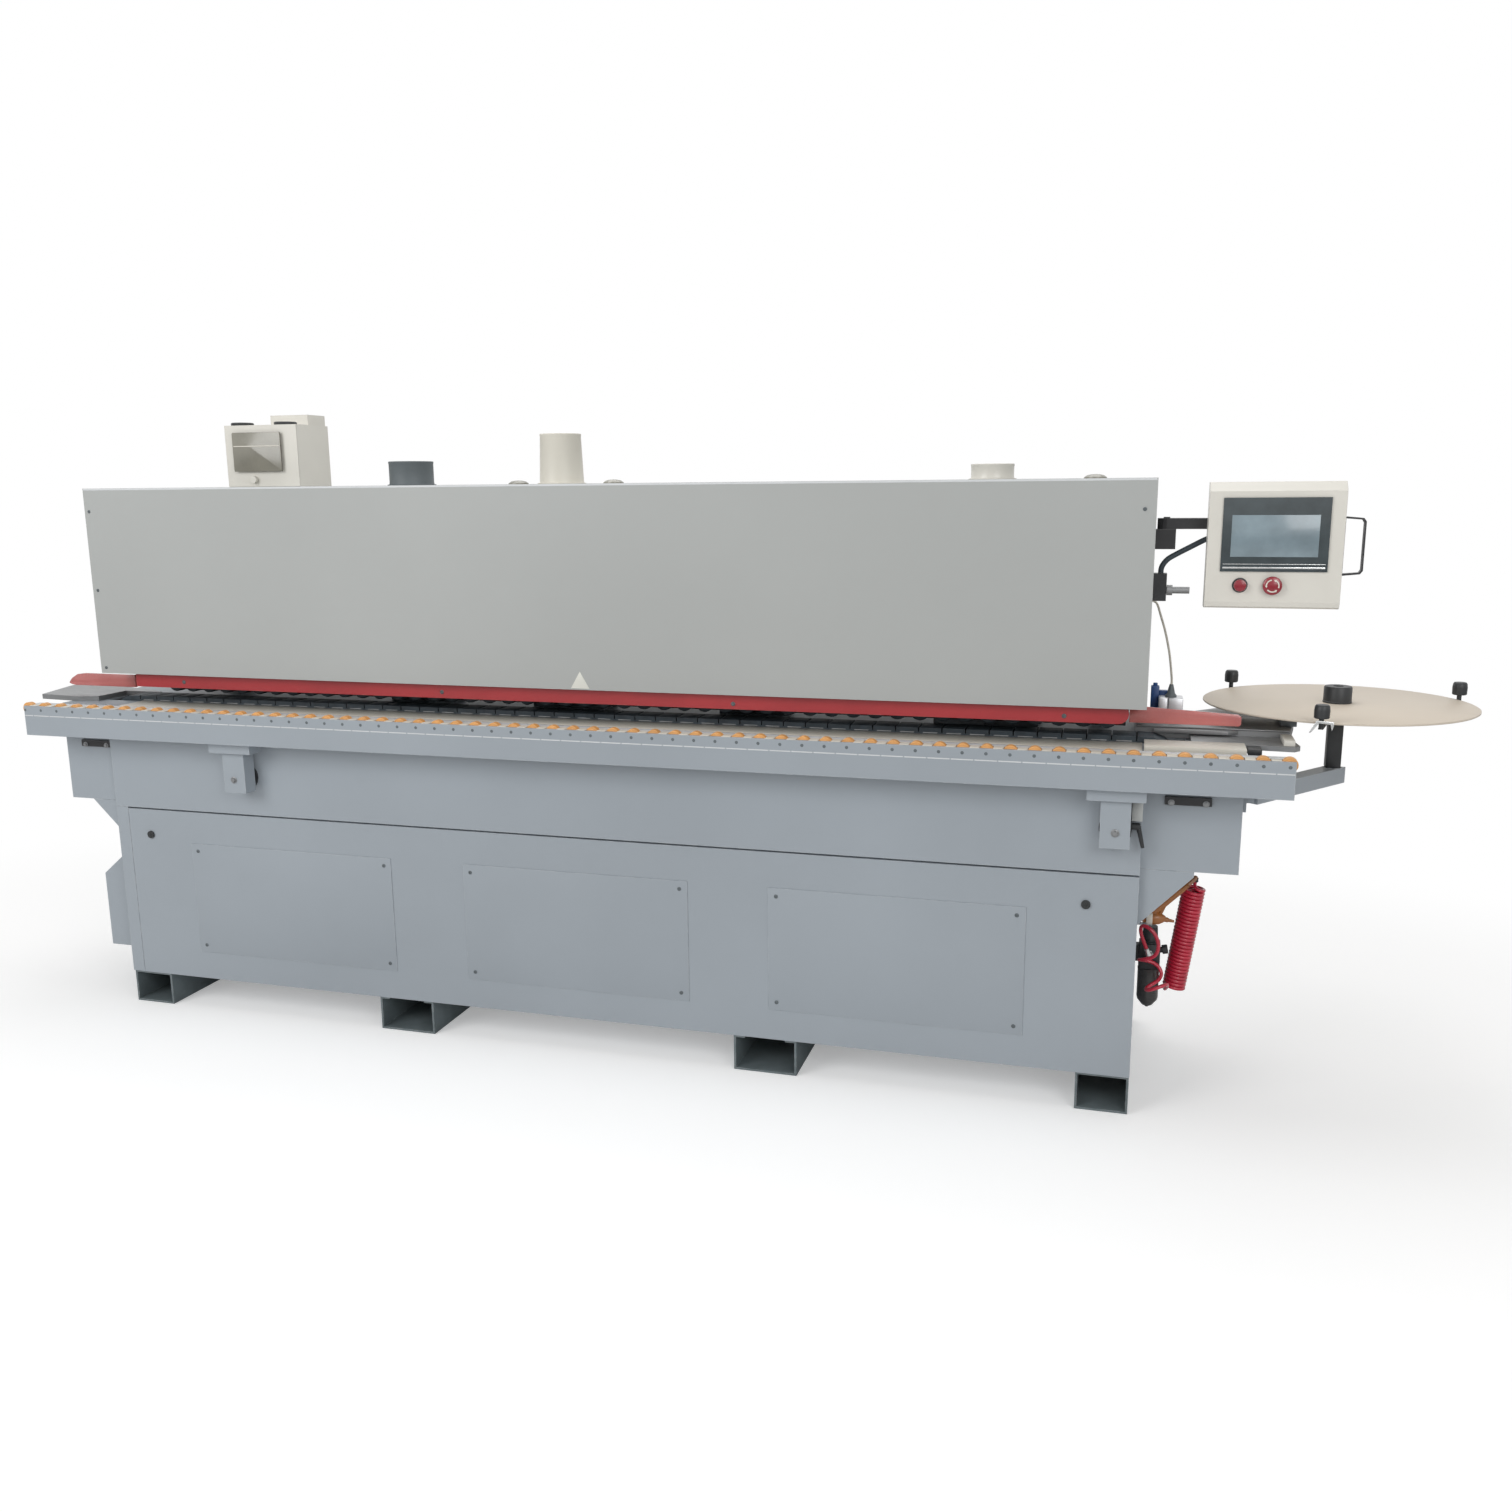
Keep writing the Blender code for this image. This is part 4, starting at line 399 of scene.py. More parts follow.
def rod(start, end, radius, end_radius=None, edge=0.0008, steps=24):
    """A turned bar between two points, which may taper."""
    along = Vector(end) - Vector(start)
    last = radius if end_radius is None else end_radius
    profile = [(0, 0), (radius - edge, 0), (radius, edge), (last, along.length - edge),
               (last - edge, along.length), (0, along.length)]
    return turned(profile, start, along, steps)


def slab(outline, axis, low, high, edge=0.001):
    """An outline cut out of plate: axis is the direction of its thickness, from low to high."""
    place = {"X": lambda a, b: (low, a, b), "Y": lambda a, b: (a, low, b), "Z": lambda a, b: (a, b, low)}
    thick = {"X": (high - low, 0, 0), "Y": (0, high - low, 0), "Z": (0, 0, high - low)}
    part = bmesh.new()
    face = part.faces.new([part.verts.new(machine(*place[axis](a, b))) for a, b in outline])
    raised = bmesh.ops.extrude_face_region(part, geom=[face])["geom"]
    moved = [item for item in raised if isinstance(item, bmesh.types.BMVert)]
    bmesh.ops.translate(part, vec=thick[axis], verts=moved)
    bmesh.ops.recalc_face_normals(part, faces=part.faces)
    return soften(part, edge) if edge else part


trial = block((0, 0, 0), (0.02, 0.02, 0.02))
print("a softened block has", len(trial.faces), "faces")
trial.free()

# %% [markdown]
# A row of equal parts is one part copied at several offsets. Smooth shading with marked sharp edges
# keeps round things round and flat things flat, without more faces.

# %% Repeating parts and making pieces
def repeated(part, places):
    """The same part at several offsets, as one part."""
    mould = bpy.data.meshes.new("mould")
    part.to_mesh(mould)
    part.free()
    whole = bmesh.new()
    for place in places:
        known = len(whole.verts)
        whole.from_mesh(mould)
        whole.verts.ensure_lookup_table()
        bmesh.ops.translate(whole, vec=place, verts=whole.verts[known:])
    bpy.data.meshes.remove(mould)
    return whole


def piece(name, parts, slot, body="root", crease=38, look=None):
    """Joins parts into one object with a finish, riding on a body."""
    whole = bmesh.new()
    share = bpy.data.meshes.new("share")
    for part in parts:
        part.to_mesh(share)
        part.free()
        whole.from_mesh(share)
    bpy.data.meshes.remove(share)
    for face in whole.faces:
        face.smooth = True
    for line in whole.edges:
        line.smooth = line.calc_face_angle(pi) < radians(crease)
    mesh = bpy.data.meshes.new(name)
    whole.to_mesh(mesh)
    whole.free()
    mesh.materials.append(FINISH[look or slot])
    made = bpy.data.objects.new(name, mesh)
    scene.collection.objects.link(made)
    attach(made, body)
    print(name, len(mesh.polygons), "faces")
    return made


def screw(place, facing=(0, -1, 0), radius=0.0055, height=0.0022, steps=16):
    """A domed screw head with a recess in the middle, facing a direction."""
    profile = [(0, height * 0.45), (radius * 0.42, height * 0.45), (radius * 0.48, height),
               (radius * 0.75, height * 0.92), (radius, height * 0.35), (radius, 0), (0, 0)]
    return turned(profile, place, facing, steps)


def bolt(place, facing=(0, -1, 0), radius=0.007, height=0.005, washer=0.01):
    """A hexagon head on its washer."""
    head_foot = Vector(place) + Vector(facing).normalized() * 0.0015
    head = turned([(0, 0), (radius, 0), (radius, height * 0.85), (radius * 0.86, height), (0, height)],
                  head_foot, facing, 6)
    under = turned([(0, 0), (washer, 0), (washer, 0.0012), (washer - 0.0006, 0.0016), (0, 0.0016)], place,
        facing, 24)
    return [head, under]


print("tools ready")

# %% [markdown]
# ## Air hose
# A workshop blow gun hangs on a spiral hose, so that it can be pulled out and springs back. The hose
# leaves the regulator's elbow, makes three loose loops and runs into the close-wound spiral. The loops
# are a list of points, with a smooth line drawn through them.

# %% The hose's loose loops
HOSE_DIAMETER = 0.01
HOSE_POINTS = [
    (1.5575, 0.2455, 0.42), (1.5505, 0.2425, 0.438), (1.544, 0.237, 0.457), (1.5405, 0.228, 0.476),
    (1.5425, 0.2155, 0.491), (1.552, 0.2035, 0.4965), (1.567, 0.1955, 0.4895), (1.58, 0.193, 0.473),
    (1.5865, 0.193, 0.452), (1.585, 0.1945, 0.43), (1.575, 0.199, 0.414), (1.559, 0.2065, 0.4045),
    (1.5455, 0.218, 0.397), (1.5395, 0.234, 0.3905), (1.5435, 0.25, 0.385), (1.558, 0.26, 0.3805),
    (1.577, 0.262, 0.3755), (1.593, 0.258, 0.365), (1.6, 0.253, 0.3485), (1.5935, 0.2495, 0.332),
    (1.5785, 0.246, 0.3205), (1.565, 0.2355, 0.3135), (1.5615, 0.2185, 0.313), (1.5695, 0.203, 0.3185),
    (1.585, 0.1965, 0.327), (1.602, 0.201, 0.3335), (1.613, 0.216, 0.3335), (1.6165, 0.236, 0.324),
    (1.615, 0.259, 0.309), (1.6125, 0.285, 0.295), (1.612, 0.318, 0.287),
]


def smooth_line(points, steps):
    """A Catmull-Rom line through points, with a number of steps between neighbours."""
    points = [Vector(point) for point in points]
    ends = [points[0] * 2 - points[1], *points, points[-1] * 2 - points[-2]]
    line = []
    for a, b, c, d in zip(ends, ends[1:], ends[2:], ends[3:]):
        for step in range(steps):
            t = step / steps
            line.append(0.5 * (2 * b + (c - a) * t + (2 * a - 5 * b + 4 * c - d) * t * t
                               + (3 * b - a - 3 * c + d) * t ** 3))
    return [*line, points[-1]]


def line_length(points):
    """The length of a line of straight steps."""
    return sum((b - a).length for a, b in zip(points, points[1:]))


print("loose loops", round(line_length(smooth_line(HOSE_POINTS, 4)), 3), "m")

# %% [markdown]
# The spiral is a turn with a small rise, drawn with twenty points to a turn round a leaning axis. At the
# top the last turn swings in to the axis, where the gun's fitting holds the hose. Averaging each of the
# last points with its neighbours a few times takes the kink out of that swing.

# %% The spiral
COIL_FOOT, COIL_HEAD = Vector((1.637, 0.33, 0.29)), Vector((1.677, 0.33, 0.59))
COIL_TURN_RADIUS, TURN_RISE, POINTS_A_TURN = 0.0262, 0.0102, 20
COIL_START, BELOW_HEAD = -0.0055, 0.016
SWING_STEPS, SWING_RISE, SMOOTHED = 8, 0.0105, 10
along = (COIL_HEAD - COIL_FOOT).normalized()
towards_back = Vector((0, 1, 0))
towards_left = along.cross(towards_back).normalized()
if towards_left.x > 0:
    towards_left.negate()


def round_axis(height, angle, radius):
    """A point at a height along the spiral's axis, at an angle and a radius round it."""
    arm = cos(angle) * towards_left + sin(angle) * towards_back
    return COIL_FOOT + along * height + radius * arm


coil_end = (COIL_HEAD - COIL_FOOT).length - BELOW_HEAD
turns = (coil_end - COIL_START) / TURN_RISE
steps_round = int(turns * POINTS_A_TURN)
coil_points = [round_axis(COIL_START + TURN_RISE * number / POINTS_A_TURN, tau * number / POINTS_A_TURN,
    COIL_TURN_RADIUS) for number in range(2, steps_round + 1)]
for inward in range(1, SWING_STEPS + 1):
    swing = radians(10 * inward)
    coil_points.append(round_axis(coil_end + SWING_RISE * (inward / SWING_STEPS) ** 2,
        tau * steps_round / POINTS_A_TURN + swing, COIL_TURN_RADIUS * cos(swing)))
coil_points += [COIL_HEAD - along * 0.0018, COIL_HEAD + along * 0.0025]
for _ in range(6):
    for number in range(len(coil_points) - SMOOTHED, len(coil_points) - 1):
        middle = (coil_points[number - 1] + coil_points[number + 1]) / 2
        coil_points[number] = coil_points[number].lerp(middle, 0.5)
print(round(turns, 1), "turns")

# %% [markdown]
# A curve object with a round bevel makes the tube. It is one open line of straight steps, short enough
# to look round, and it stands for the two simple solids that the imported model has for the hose.

# %% The hose as one cord
def cord_object(name, line, diameter, slot, body):
    """A round tube along a line of points, as a curve."""
    curve = bpy.data.curves.new(name, "CURVE")
    curve.dimensions = "3D"
    curve.bevel_depth = diameter / 2
    curve.bevel_resolution = 3
    curve.use_fill_caps = True
    spline = curve.splines.new("POLY")
    spline.points.add(len(line) - 1)
    for knot, place in zip(spline.points, line):
        knot.co = (*machine(*place), 1)
    spline.use_smooth = True
    curve.materials.append(FINISH[slot])
    made = bpy.data.objects.new(name, curve)
    scene.collection.objects.link(made)
    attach(made, body)
    return made


hose_line = smooth_line(HOSE_POINTS, 4)[:-1] + smooth_line([HOSE_POINTS[-1], *coil_points], 1)
hose = cord_object("spiral_air_hose", hose_line, HOSE_DIAMETER, "red_hose", "root")
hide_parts("hose_lead", "hose_coil")

# %% [markdown]
# The blow gun lies on a peg beside the cabinet. Its head and nozzle are turned, its long tapered grip
# runs up to the black fitting on the hose, and an off-white band sits round its head.

# %% Blow gun
GUN = Vector((1.574, 0.283, 0.496))
fitting_top = COIL_HEAD + along * 0.014
grip_foot = Vector((1.5435, GUN.y, 0.485))
grip_end = Vector((fitting_top.x - 0.022, GUN.y, fitting_top.z - 0.008))
grip_length = (grip_end - grip_foot).length
gun_head = turned([(0, -0.02), (0.0125, -0.019), (0.0175, -0.012), (0.0185, 0.002), (0.0165, 0.014),
    (0.011, 0.024), (0.007, 0.03), (0, 0.031)], GUN, (1, 0, 0), 32)
nozzle = turned([(0, 0), (0.0068, 0), (0.0068, 0.008), (0.0048, 0.012), (0.0036, 0.024), (0.003, 0.026),
    (0, 0.026)], GUN + Vector((0.027, 0, -0.002)), (0.026, 0, -0.004), 20)
grip = turned([(0, 0), (0.0065, 0.0005), (0.0088, 0.004), (0.01, 0.02), (0.0105, 0.055), (0.0092, 0.1),
    (0.0085, 0.14), (0.0072, grip_length - 0.002), (0, grip_length)], grip_foot, grip_end - grip_foot, 24)
neck = rod(grip_end - Vector((0.003, 0, 0.002)), (fitting_top.x, COIL_HEAD.y + 0.004, fitting_top.z - 0.001),
            0.0068, edge=0.002)
gun = piece("blow_gun", [gun_head, nozzle, grip, neck], "gun_plastic")
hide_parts("air_gun")
fitting = piece("hose_fitting", [
    turned([(0, 0), (0.0078, 0), (0.0078, 0.003), (0.0068, 0.0035), (0.0068, 0.0105), (0, 0.0115)],
           COIL_HEAD + along * 0.003, along, 12)], "black_plastic")
band = piece("gun_band", [turned([(0.012, 0), (0.0176, 0), (0.0186, 0.002), (0.019, 0.014), (0.0184, 0.016),
    (0.012, 0.016)], GUN + Vector((-0.02, 0, 0)), (1, 0, 0), 32, ring=True)], "white_plastic")
trigger = piece("gun_trigger", [slab([(1.586, 0.512), (1.6, 0.533), (1.603, 0.53), (1.594, 0.507)], "Y",
    GUN.y - 0.005, GUN.y + 0.005, 0.0012)], "gun_plastic")

# %% [markdown]
# Two more lines hang free at the infeed end: the panel's cable, which rides on the swinging arm, and
# the thin air line into the stop cylinder. Both go back into the machine at their far end.

# %% Panel cable and air line
CABLE_POINTS = [
    (1.7796, 0.2, 1.52), (1.768, 0.2, 1.52), (1.742, 0.2, 1.523), (1.712, 0.2, 1.528), (1.682, 0.2, 1.527),
    (1.65, 0.2, 1.516), (1.612, 0.2, 1.496), (1.581, 0.2, 1.479), (1.56, 0.2, 1.466), (1.5485, 0.2, 1.452),
    (1.5445, 0.2, 1.441), (1.544, 0.2, 1.4308),
]
AIR_POINTS = [
    (1.5268, 0.36, 1.347), (1.532, 0.36, 1.347), (1.542, 0.361, 1.338), (1.552, 0.366, 1.309),
    (1.566, 0.378, 1.265), (1.579, 0.392, 1.21), (1.586, 0.404, 1.165), (1.59, 0.412, 1.132),
    (1.59, 0.412, 1.1152),
]
cable_line = smooth_line(CABLE_POINTS, 5)
cable = cord_object("panel_cable", cable_line, 0.014, "black_rubber", "hmi_arm")
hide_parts("hmi_cable")
air_line = smooth_line(AIR_POINTS, 5)
air = cord_object("stop_air_line", air_line, 0.006, "white_plastic", "root")
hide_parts("air_tube")
print("cable", round(line_length(cable_line), 3), "m, air line", round(line_length(air_line), 3), "m")

# %% [markdown]
# ## Filter regulator
# The regulator has a moulded body on a bracket, a smoked bowl below it that tapers to a drain, a small
# round knob at its side and a zinc elbow for the hose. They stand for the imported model's one solid.

# %% Regulator
AIR_X, AIR_Y = 1.567, 0.3
hose_out = Vector(HOSE_POINTS[0])
back_along_hose = (hose_out - Vector(HOSE_POINTS[1])).normalized()
elbow_corner = hose_out + back_along_hose * 0.024
body_parts = [
    block((AIR_X - 0.028, AIR_Y - 0.028, 0.35), (AIR_X + 0.028, AIR_Y + 0.028, 0.422), 0.003),
    block((1.5294, AIR_Y - 0.02, 0.37), (AIR_X - 0.02, AIR_Y + 0.02, 0.412), 0.001),
    turned([(0, 0), (0.021, 0), (0.021, 0.003), (0.016, 0.005), (0.016, 0.012), (0, 0.012)],
           (AIR_X, AIR_Y, 0.422), steps=32),
    rod((AIR_X + 0.026, AIR_Y, 0.4), (AIR_X + 0.034, AIR_Y, 0.402), 0.008),
    rod((AIR_X + 0.033, AIR_Y, 0.402), (AIR_X + 0.0475, AIR_Y, 0.405), 0.0125, edge=0.0015),
]
regulator = piece("regulator_body", body_parts, "black_plastic")
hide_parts("air_regulator")
piece("regulator_bowl", [
    turned([(0, 0), (0.005, 0), (0.006, 0.004), (0.014, 0.006), (0.0265, 0.022), (0.0285, 0.03),
            (0.0285, 0.108), (0.029, 0.109), (0.029, 0.1145), (0, 0.1145)], (AIR_X, AIR_Y, 0.235),
           steps=40)], "grey_plastic", look="smoked_bowl")
piece("hose_elbow", [
    rod((AIR_X, AIR_Y - 0.026, elbow_corner.z), elbow_corner, 0.008, edge=0.0015),
    rod(elbow_corner, hose_out + back_along_hose * 0.0008, 0.0074, 0.0062, edge=0.001),
    turned([(0, 0), (0.0095, 0), (0.0095, 0.006), (0, 0.006)], (AIR_X, AIR_Y - 0.027, elbow_corner.z),
           elbow_corner - Vector((AIR_X, AIR_Y - 0.026, elbow_corner.z)), 6)], "zinc")

# %% [markdown]
# ## Roller row
# Sixty-three small wheels carry the board's outer edge. Each is a moulded tyre on a steel pin, and
# off-white fillers and caps close the channel between them. One wheel is turned on the lathe and then
# repeated, so all are alike. The row rides on the rail, which slides out for wide boards.

# %% Rollers, pins and fillers
PITCH, COUNT, ROLLER_Z = 0.06, 63, 0.988
first = -PITCH * (COUNT - 1) / 2
steps_along = [Vector((PITCH * number, 0, 0)) for number in range(COUNT)]
tyre = turned([(0.0045, 0.0005), (0.012, 0.0005), (0.0132, 0.0018), (0.0176, 0.0018), (0.019, 0.0032),
    (0.019, 0.0208), (0.0176, 0.0222), (0.0132, 0.0222), (0.012, 0.0235), (0.0045, 0.0235)],
    (first, 0.009, ROLLER_Z), (0, 1, 0), 28, ring=True)
wheels = piece("support_rollers", [repeated(tyre, steps_along)], "orange_plastic", "rail")
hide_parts("roller_row")
pin = rod((first, 0.0042, ROLLER_Z), (first, 0.0358, ROLLER_Z), 0.0043, steps=12)
piece("roller_pins", [repeated(pin, steps_along)], "steel", "rail")
filler = slab([(first + 0.0178, 0.9984), (first + 0.0422, 0.9984), (first + 0.04, 0.973),
    (first + 0.02, 0.973)], "Y", 0.0088, 0.0332, 0.0008)
cap = block((first + 0.0174, 0.0004, 0.9981), (first + 0.0426, 0.0352, 0.9996), 0.0006)
piece("roller_fillers", [repeated(filler, steps_along[:-1]), repeated(cap, steps_along[:-2])],
      "white_plastic", "rail")

# %% [markdown]
# The rail's face shows one small screw under each roller, and above them a folded edge, whose highlight is
# painted on as a thin light strip. The fold is cut between the rollers, as the top of the rail is made of
# short holders. A narrow strip of painted light, lighter than the rail's own paint, lies on the rail's top
# behind the rollers.

# %% Rail face
axle_end = turned([(0, 0.0002), (0.0028, 0.0002), (0.0032, 0.0001), (0.0044, 0.0002), (0.0048, -0.001),
    (0, -0.001)], (first, 0, 0.985), (0, -1, 0), 12)
piece("roller_screws", [repeated(axle_end, steps_along)], "grey_plastic", "rail")
strip_left, strip_right = rail_low.x - DATUM.x + 0.001, rail_high.x - DATUM.x - 0.001
# Painted light: a strip lighter than the cabinet paint, on the rail's top where that paint lies in shade.
piece("rail_top_painted_light", [block((strip_left, 0.0366, 0.9979), (strip_right, 0.0646, 0.9986), 0.0002)],
      "cabinet_paint", "rail", look="painted_highlight")


def fold(left, right):
    """One holder's painted highlight on its folded edge, between two places along the rail."""
    return block((left, -0.0002, 0.966), (right, 0.002, 0.9692), 0)


# Painted highlight: light strips along the holders' folds.
piece("rail_fold_highlight", [
    repeated(fold(first - 0.0286, first + 0.0286), steps_along[1:-1]),
    fold(first - 0.003, first + 0.0286),
    fold(-first - 0.0286, -first + 0.012)], "cabinet_paint", "rail", look="painted_highlight")

# %% [markdown]
# ## Feed pads
# The board is driven by a loop of rubber pads under a beam of pressure wheels. The imported loop is right, so
# the pads only get their steel carriers here, a thin bar on the front of each one, and a low tread on top. In
# front of them an off-white strip of painted light lies on the beam's top, lighter than its paint in shade.

# %% Pad carriers and treads
PAD_PITCH = 0.0635
SPROCKETS = (-1.633, 1.533)
pads = int((SPROCKETS[1] - SPROCKETS[0]) / PAD_PITCH)
first_pad = SPROCKETS[0] + (SPROCKETS[1] - SPROCKETS[0] - pads * PAD_PITCH) / 2
pad_steps = [Vector((PAD_PITCH * number, 0, 0)) for number in range(pads)]
carrier = block((first_pad + 0.012, 0.2118, 0.9925), (first_pad + 0.0515, 0.2134, 0.9955), 0.0005)
piece("pad_carriers", [repeated(carrier, pad_steps)], "steel")
tread = block((first_pad + 0.0035, 0.2145, 1.0055), (first_pad + 0.06, 0.2915, 1.0074), 0.0006)
piece("pad_treads", [repeated(tread, pad_steps)], "black_rubber")
# Painted light: an off-white strip, lighter than the beam's cabinet paint in shade.
piece("beam_top_painted_light", [block((-1.597, 0.105, 0.9909), (1.52, 0.2118, 0.9914), 0.0001)], "cabinet_paint",
      look="white_plastic")

# %% [markdown]
# The pressure wheels press the board down on the pads. Each is a rubber tyre on a moulded hub, hung in
# a holder, and a dark skirt closes the view behind them. They ride on the pressure beam, which the
# spindle at the end raises for thick boards.

# %% Pressure wheels
press_low, press_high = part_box("pressure_wheels")
WHEEL_RADIUS, WHEEL_PITCH = 0.03, 0.062
wheel_count = round((press_high.x - press_low.x - 2 * WHEEL_RADIUS) / WHEEL_PITCH) + 1
wheel_place = Vector((press_low.x + WHEEL_RADIUS, press_low.y, press_low.z + WHEEL_RADIUS)) - DATUM
wheel_steps = [Vector((WHEEL_PITCH * number, 0, 0)) for number in range(wheel_count)]
rim = turned([(0.019, 0.001), (0.0275, 0.0005), (0.0298, 0.003), (0.0298, 0.029), (0.0275, 0.0315),
              (0.019, 0.031)], wheel_place, (0, 1, 0), 32, ring=True)
hub = turned([(0, 0.003), (0.007, 0.003), (0.008, 0.006), (0.019, 0.006), (0.0194, 0.026), (0.008, 0.026),
              (0.007, 0.029), (0, 0.029)], wheel_place, (0, 1, 0), 24)
tyres = piece("pressure_tyres", [repeated(rim, wheel_steps)], "black_rubber", "pressure")
piece("beam_skirt", [block((-1.532, 0.277, 1.023), (1.476, 0.2795, 1.0638), 0.0005)], "black_paint",
      "pressure", look="smoked_bowl")
piece("pressure_hubs", [repeated(hub, wheel_steps)], "grey_plastic", "pressure")
holder = block(wheel_place + Vector((-0.0305, 0.004, 0.004)),
               wheel_place + Vector((0.0305, 0.028, 0.084)), 0.0015)
piece("wheel_holders", [repeated(holder, wheel_steps)], "black_paint", "pressure")
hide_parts("pressure_wheels")

# %% [markdown]
# ## Screws, covers and stops
# Sheet work is held by screws, and their heads are what the eye uses to judge its size. A triangle of
# plain vinyl sits on the hood, with nothing printed on it.

# %% Screws in the red strip, the hood and the cabinet
piece("strip_screws", [screw((x, 0.128, z), radius=0.0062) for x, z in (
    (-1.361, 1.071), (-0.462, 1.07), (0.433, 1.067), (1.323, 1.068))], "cast_iron", "pressure")
piece("hood_screws", [screw((x, 0.1, z), radius=0.005) for x, z in (
    (-1.627, 1.596), (-1.625, 1.355), (-1.624, 1.113), (1.498, 1.591))],
    "grey_plastic", "hood_door")
piece("cabinet_rivets", [screw((x, 0.1184, z), radius=0.005) for x, z in (
    (-1.62, 0.709), (1.503, 0.707))], "grey_plastic")
piece("blank_sticker", [slab([(-0.0375, 1.0995), (0.019, 1.0995), (-0.009, 1.1475)], "Y", 0.0994, 0.1001,
    0.0001)], "sticker", "hood_door")

# %% [markdown]
# Three cover plates on the front panel give access to the inside. A plate 2 mm thick with a fine bevel
# is enough, because its shadow line is what shows, and a screw holds each corner.

# %% Covers on the front panel
LOWER_SCREWS, UPPER_SCREWS, MARGIN = 0.22, 0.533, 0.024
cover_parts, cover_screws = [], []
for left, right in ((-1.344, -0.676), (-0.385, 0.275), (0.56, 1.222)):
    cover_parts.append(block((left - MARGIN, 0.0982, LOWER_SCREWS - MARGIN),
        (right + MARGIN, 0.1002, UPPER_SCREWS + MARGIN), 0.0006))
    for x in (left, right):
        for z in (LOWER_SCREWS, UPPER_SCREWS):
            cover_screws.append(screw((x, 0.0982, z), radius=0.0058))
piece("access_covers", cover_parts, "cabinet_paint", "front_panel")
piece("cover_screws", cover_screws, "grey_plastic", "front_panel")

# %% [markdown]
# Two black stops limit the rail's travel. They and the rail's brackets are held by hexagon bolts on
# washers, which are the lathe's work with six steps for the head.

# %% Rail stops, bracket bolts and the clamp post
stop_bars, stop_bolts = [], []
for left, right in ((-1.761, -1.651), (1.581, 1.695)):
    stop_bars.append(block((left, 0.109, 0.853), (right, 0.1184, 0.875), 0.0015))
    for x in (left + 0.016, right - 0.014):
        stop_bolts += bolt((x, 0.109, 0.8595), radius=0.0058, height=0.004, washer=0.0082)
piece("rail_stops", stop_bars, "black_paint")
piece("rail_stop_bolts", stop_bolts, "steel")
bracket_bolts = []
for x in (-1.14, 1.4636):
    bracket_bolts += bolt((x, 0.04, 0.788), radius=0.0066, height=0.006, washer=0.0105)
piece("bracket_bolts", bracket_bolts, "steel", "rail")
piece("clamp_post", [block((1.5022, 0.066, 0.8155), (1.529, 0.0994, 0.8715), 0.0012)], "hood_paint")

# %% [markdown]
# Each lock has a turned core with a key slot. They ride on the lock, so the slot turns with the key.

# %% Lock cores
def face_of(node):
    """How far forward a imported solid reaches, in machine measure."""
    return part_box(node)[0].y - DATUM.y


for side, x in (("left", -1.517), ("right", 1.398)):
    front = face_of(f"panel_lock_{side}")
    core = turned([(0, 0.0008), (0.0052, 0.0008), (0.006, 0), (0, 0)], (x, front, 0.577), (0, -1, 0), 20)
    slot = block((x - 0.001, front - 0.0012, 0.5735), (x + 0.001, front - 0.0002, 0.5805), 0.0002)
    piece(f"lock_core_{side}", [core], "black_plastic", f"panel_lock_{side}")
    piece(f"lock_slot_{side}", [slot], "black_plastic", f"panel_lock_{side}")

# %% [markdown]
# ## Guards and the infeed
# Clear red guards stand at both ends of the pressure beam, so that no hand goes under it. They are
# outlines cut out of 8 mm sheet.

# %% Red guards
left_guard = slab([(-1.866, 1.045), (-1.853, 1.06), (-1.83, 1.073), (-1.8, 1.077), (-1.604, 1.077),
    (-1.604, 1.037), (-1.84, 1.037), (-1.858, 1.04)], "Y", 0.196, 0.204, 0.0008)
right_guard = slab([(1.4845, 1.046), (1.753, 1.046), (1.758, 1.051), (1.758, 1.07), (1.75, 1.076),
    (1.4845, 1.09)], "Y", 0.196, 0.204, 0.0008)
piece("infeed_guard", [right_guard], "red_guard")
piece("outfeed_guard", [left_guard], "red_guard")

# %% [markdown]
# The infeed table is a stack of ground plates that guide the board's end and the tape into the machine.
# The fence has a cut outline; the other plates and blocks are sawn.

# %% Infeed stack
piece("infeed_fence", [slab([(1.5015, 0.298), (1.886, 0.298), (1.914, 0.495), (1.8495, 0.5755),
    (1.73, 0.645), (1.6305, 0.5425), (1.5015, 0.5425)], "Z", 1.0184, 1.0224, 0.0008)], "steel")
piece("infeed_cross_plate", [slab([(1.548, 0.276), (1.734, 0.276), (1.76, 0.2965), (1.548, 0.2965)], "Z",
    1.008, 1.018, 0.0008)], "steel")
piece("board_guide_plate", [block((1.524, 0.094, 0.9916), (1.768, 0.184, 1.006), 0.0008)],
      "white_plastic")
piece("guide_end_block", [block((1.7705, 0.096, 0.9916), (1.803, 0.15, 1.0068), 0.0012)], "black_plastic")
piece("table_end_block", [block((1.868, 0.36, 1.0226), (1.908, 0.48, 1.04), 0.0015)], "grey_plastic")
piece("table_stop", [block((1.86, 0.175, 1.0042), (1.887, 0.27, 1.0182), 0.001)], "cream_paint")

# %% [markdown]
# A short square cylinder works the stop. Its barrel is in two halves with a fine gap, the air line goes
# into a turned fitting on top, and a blue valve stands beside it.

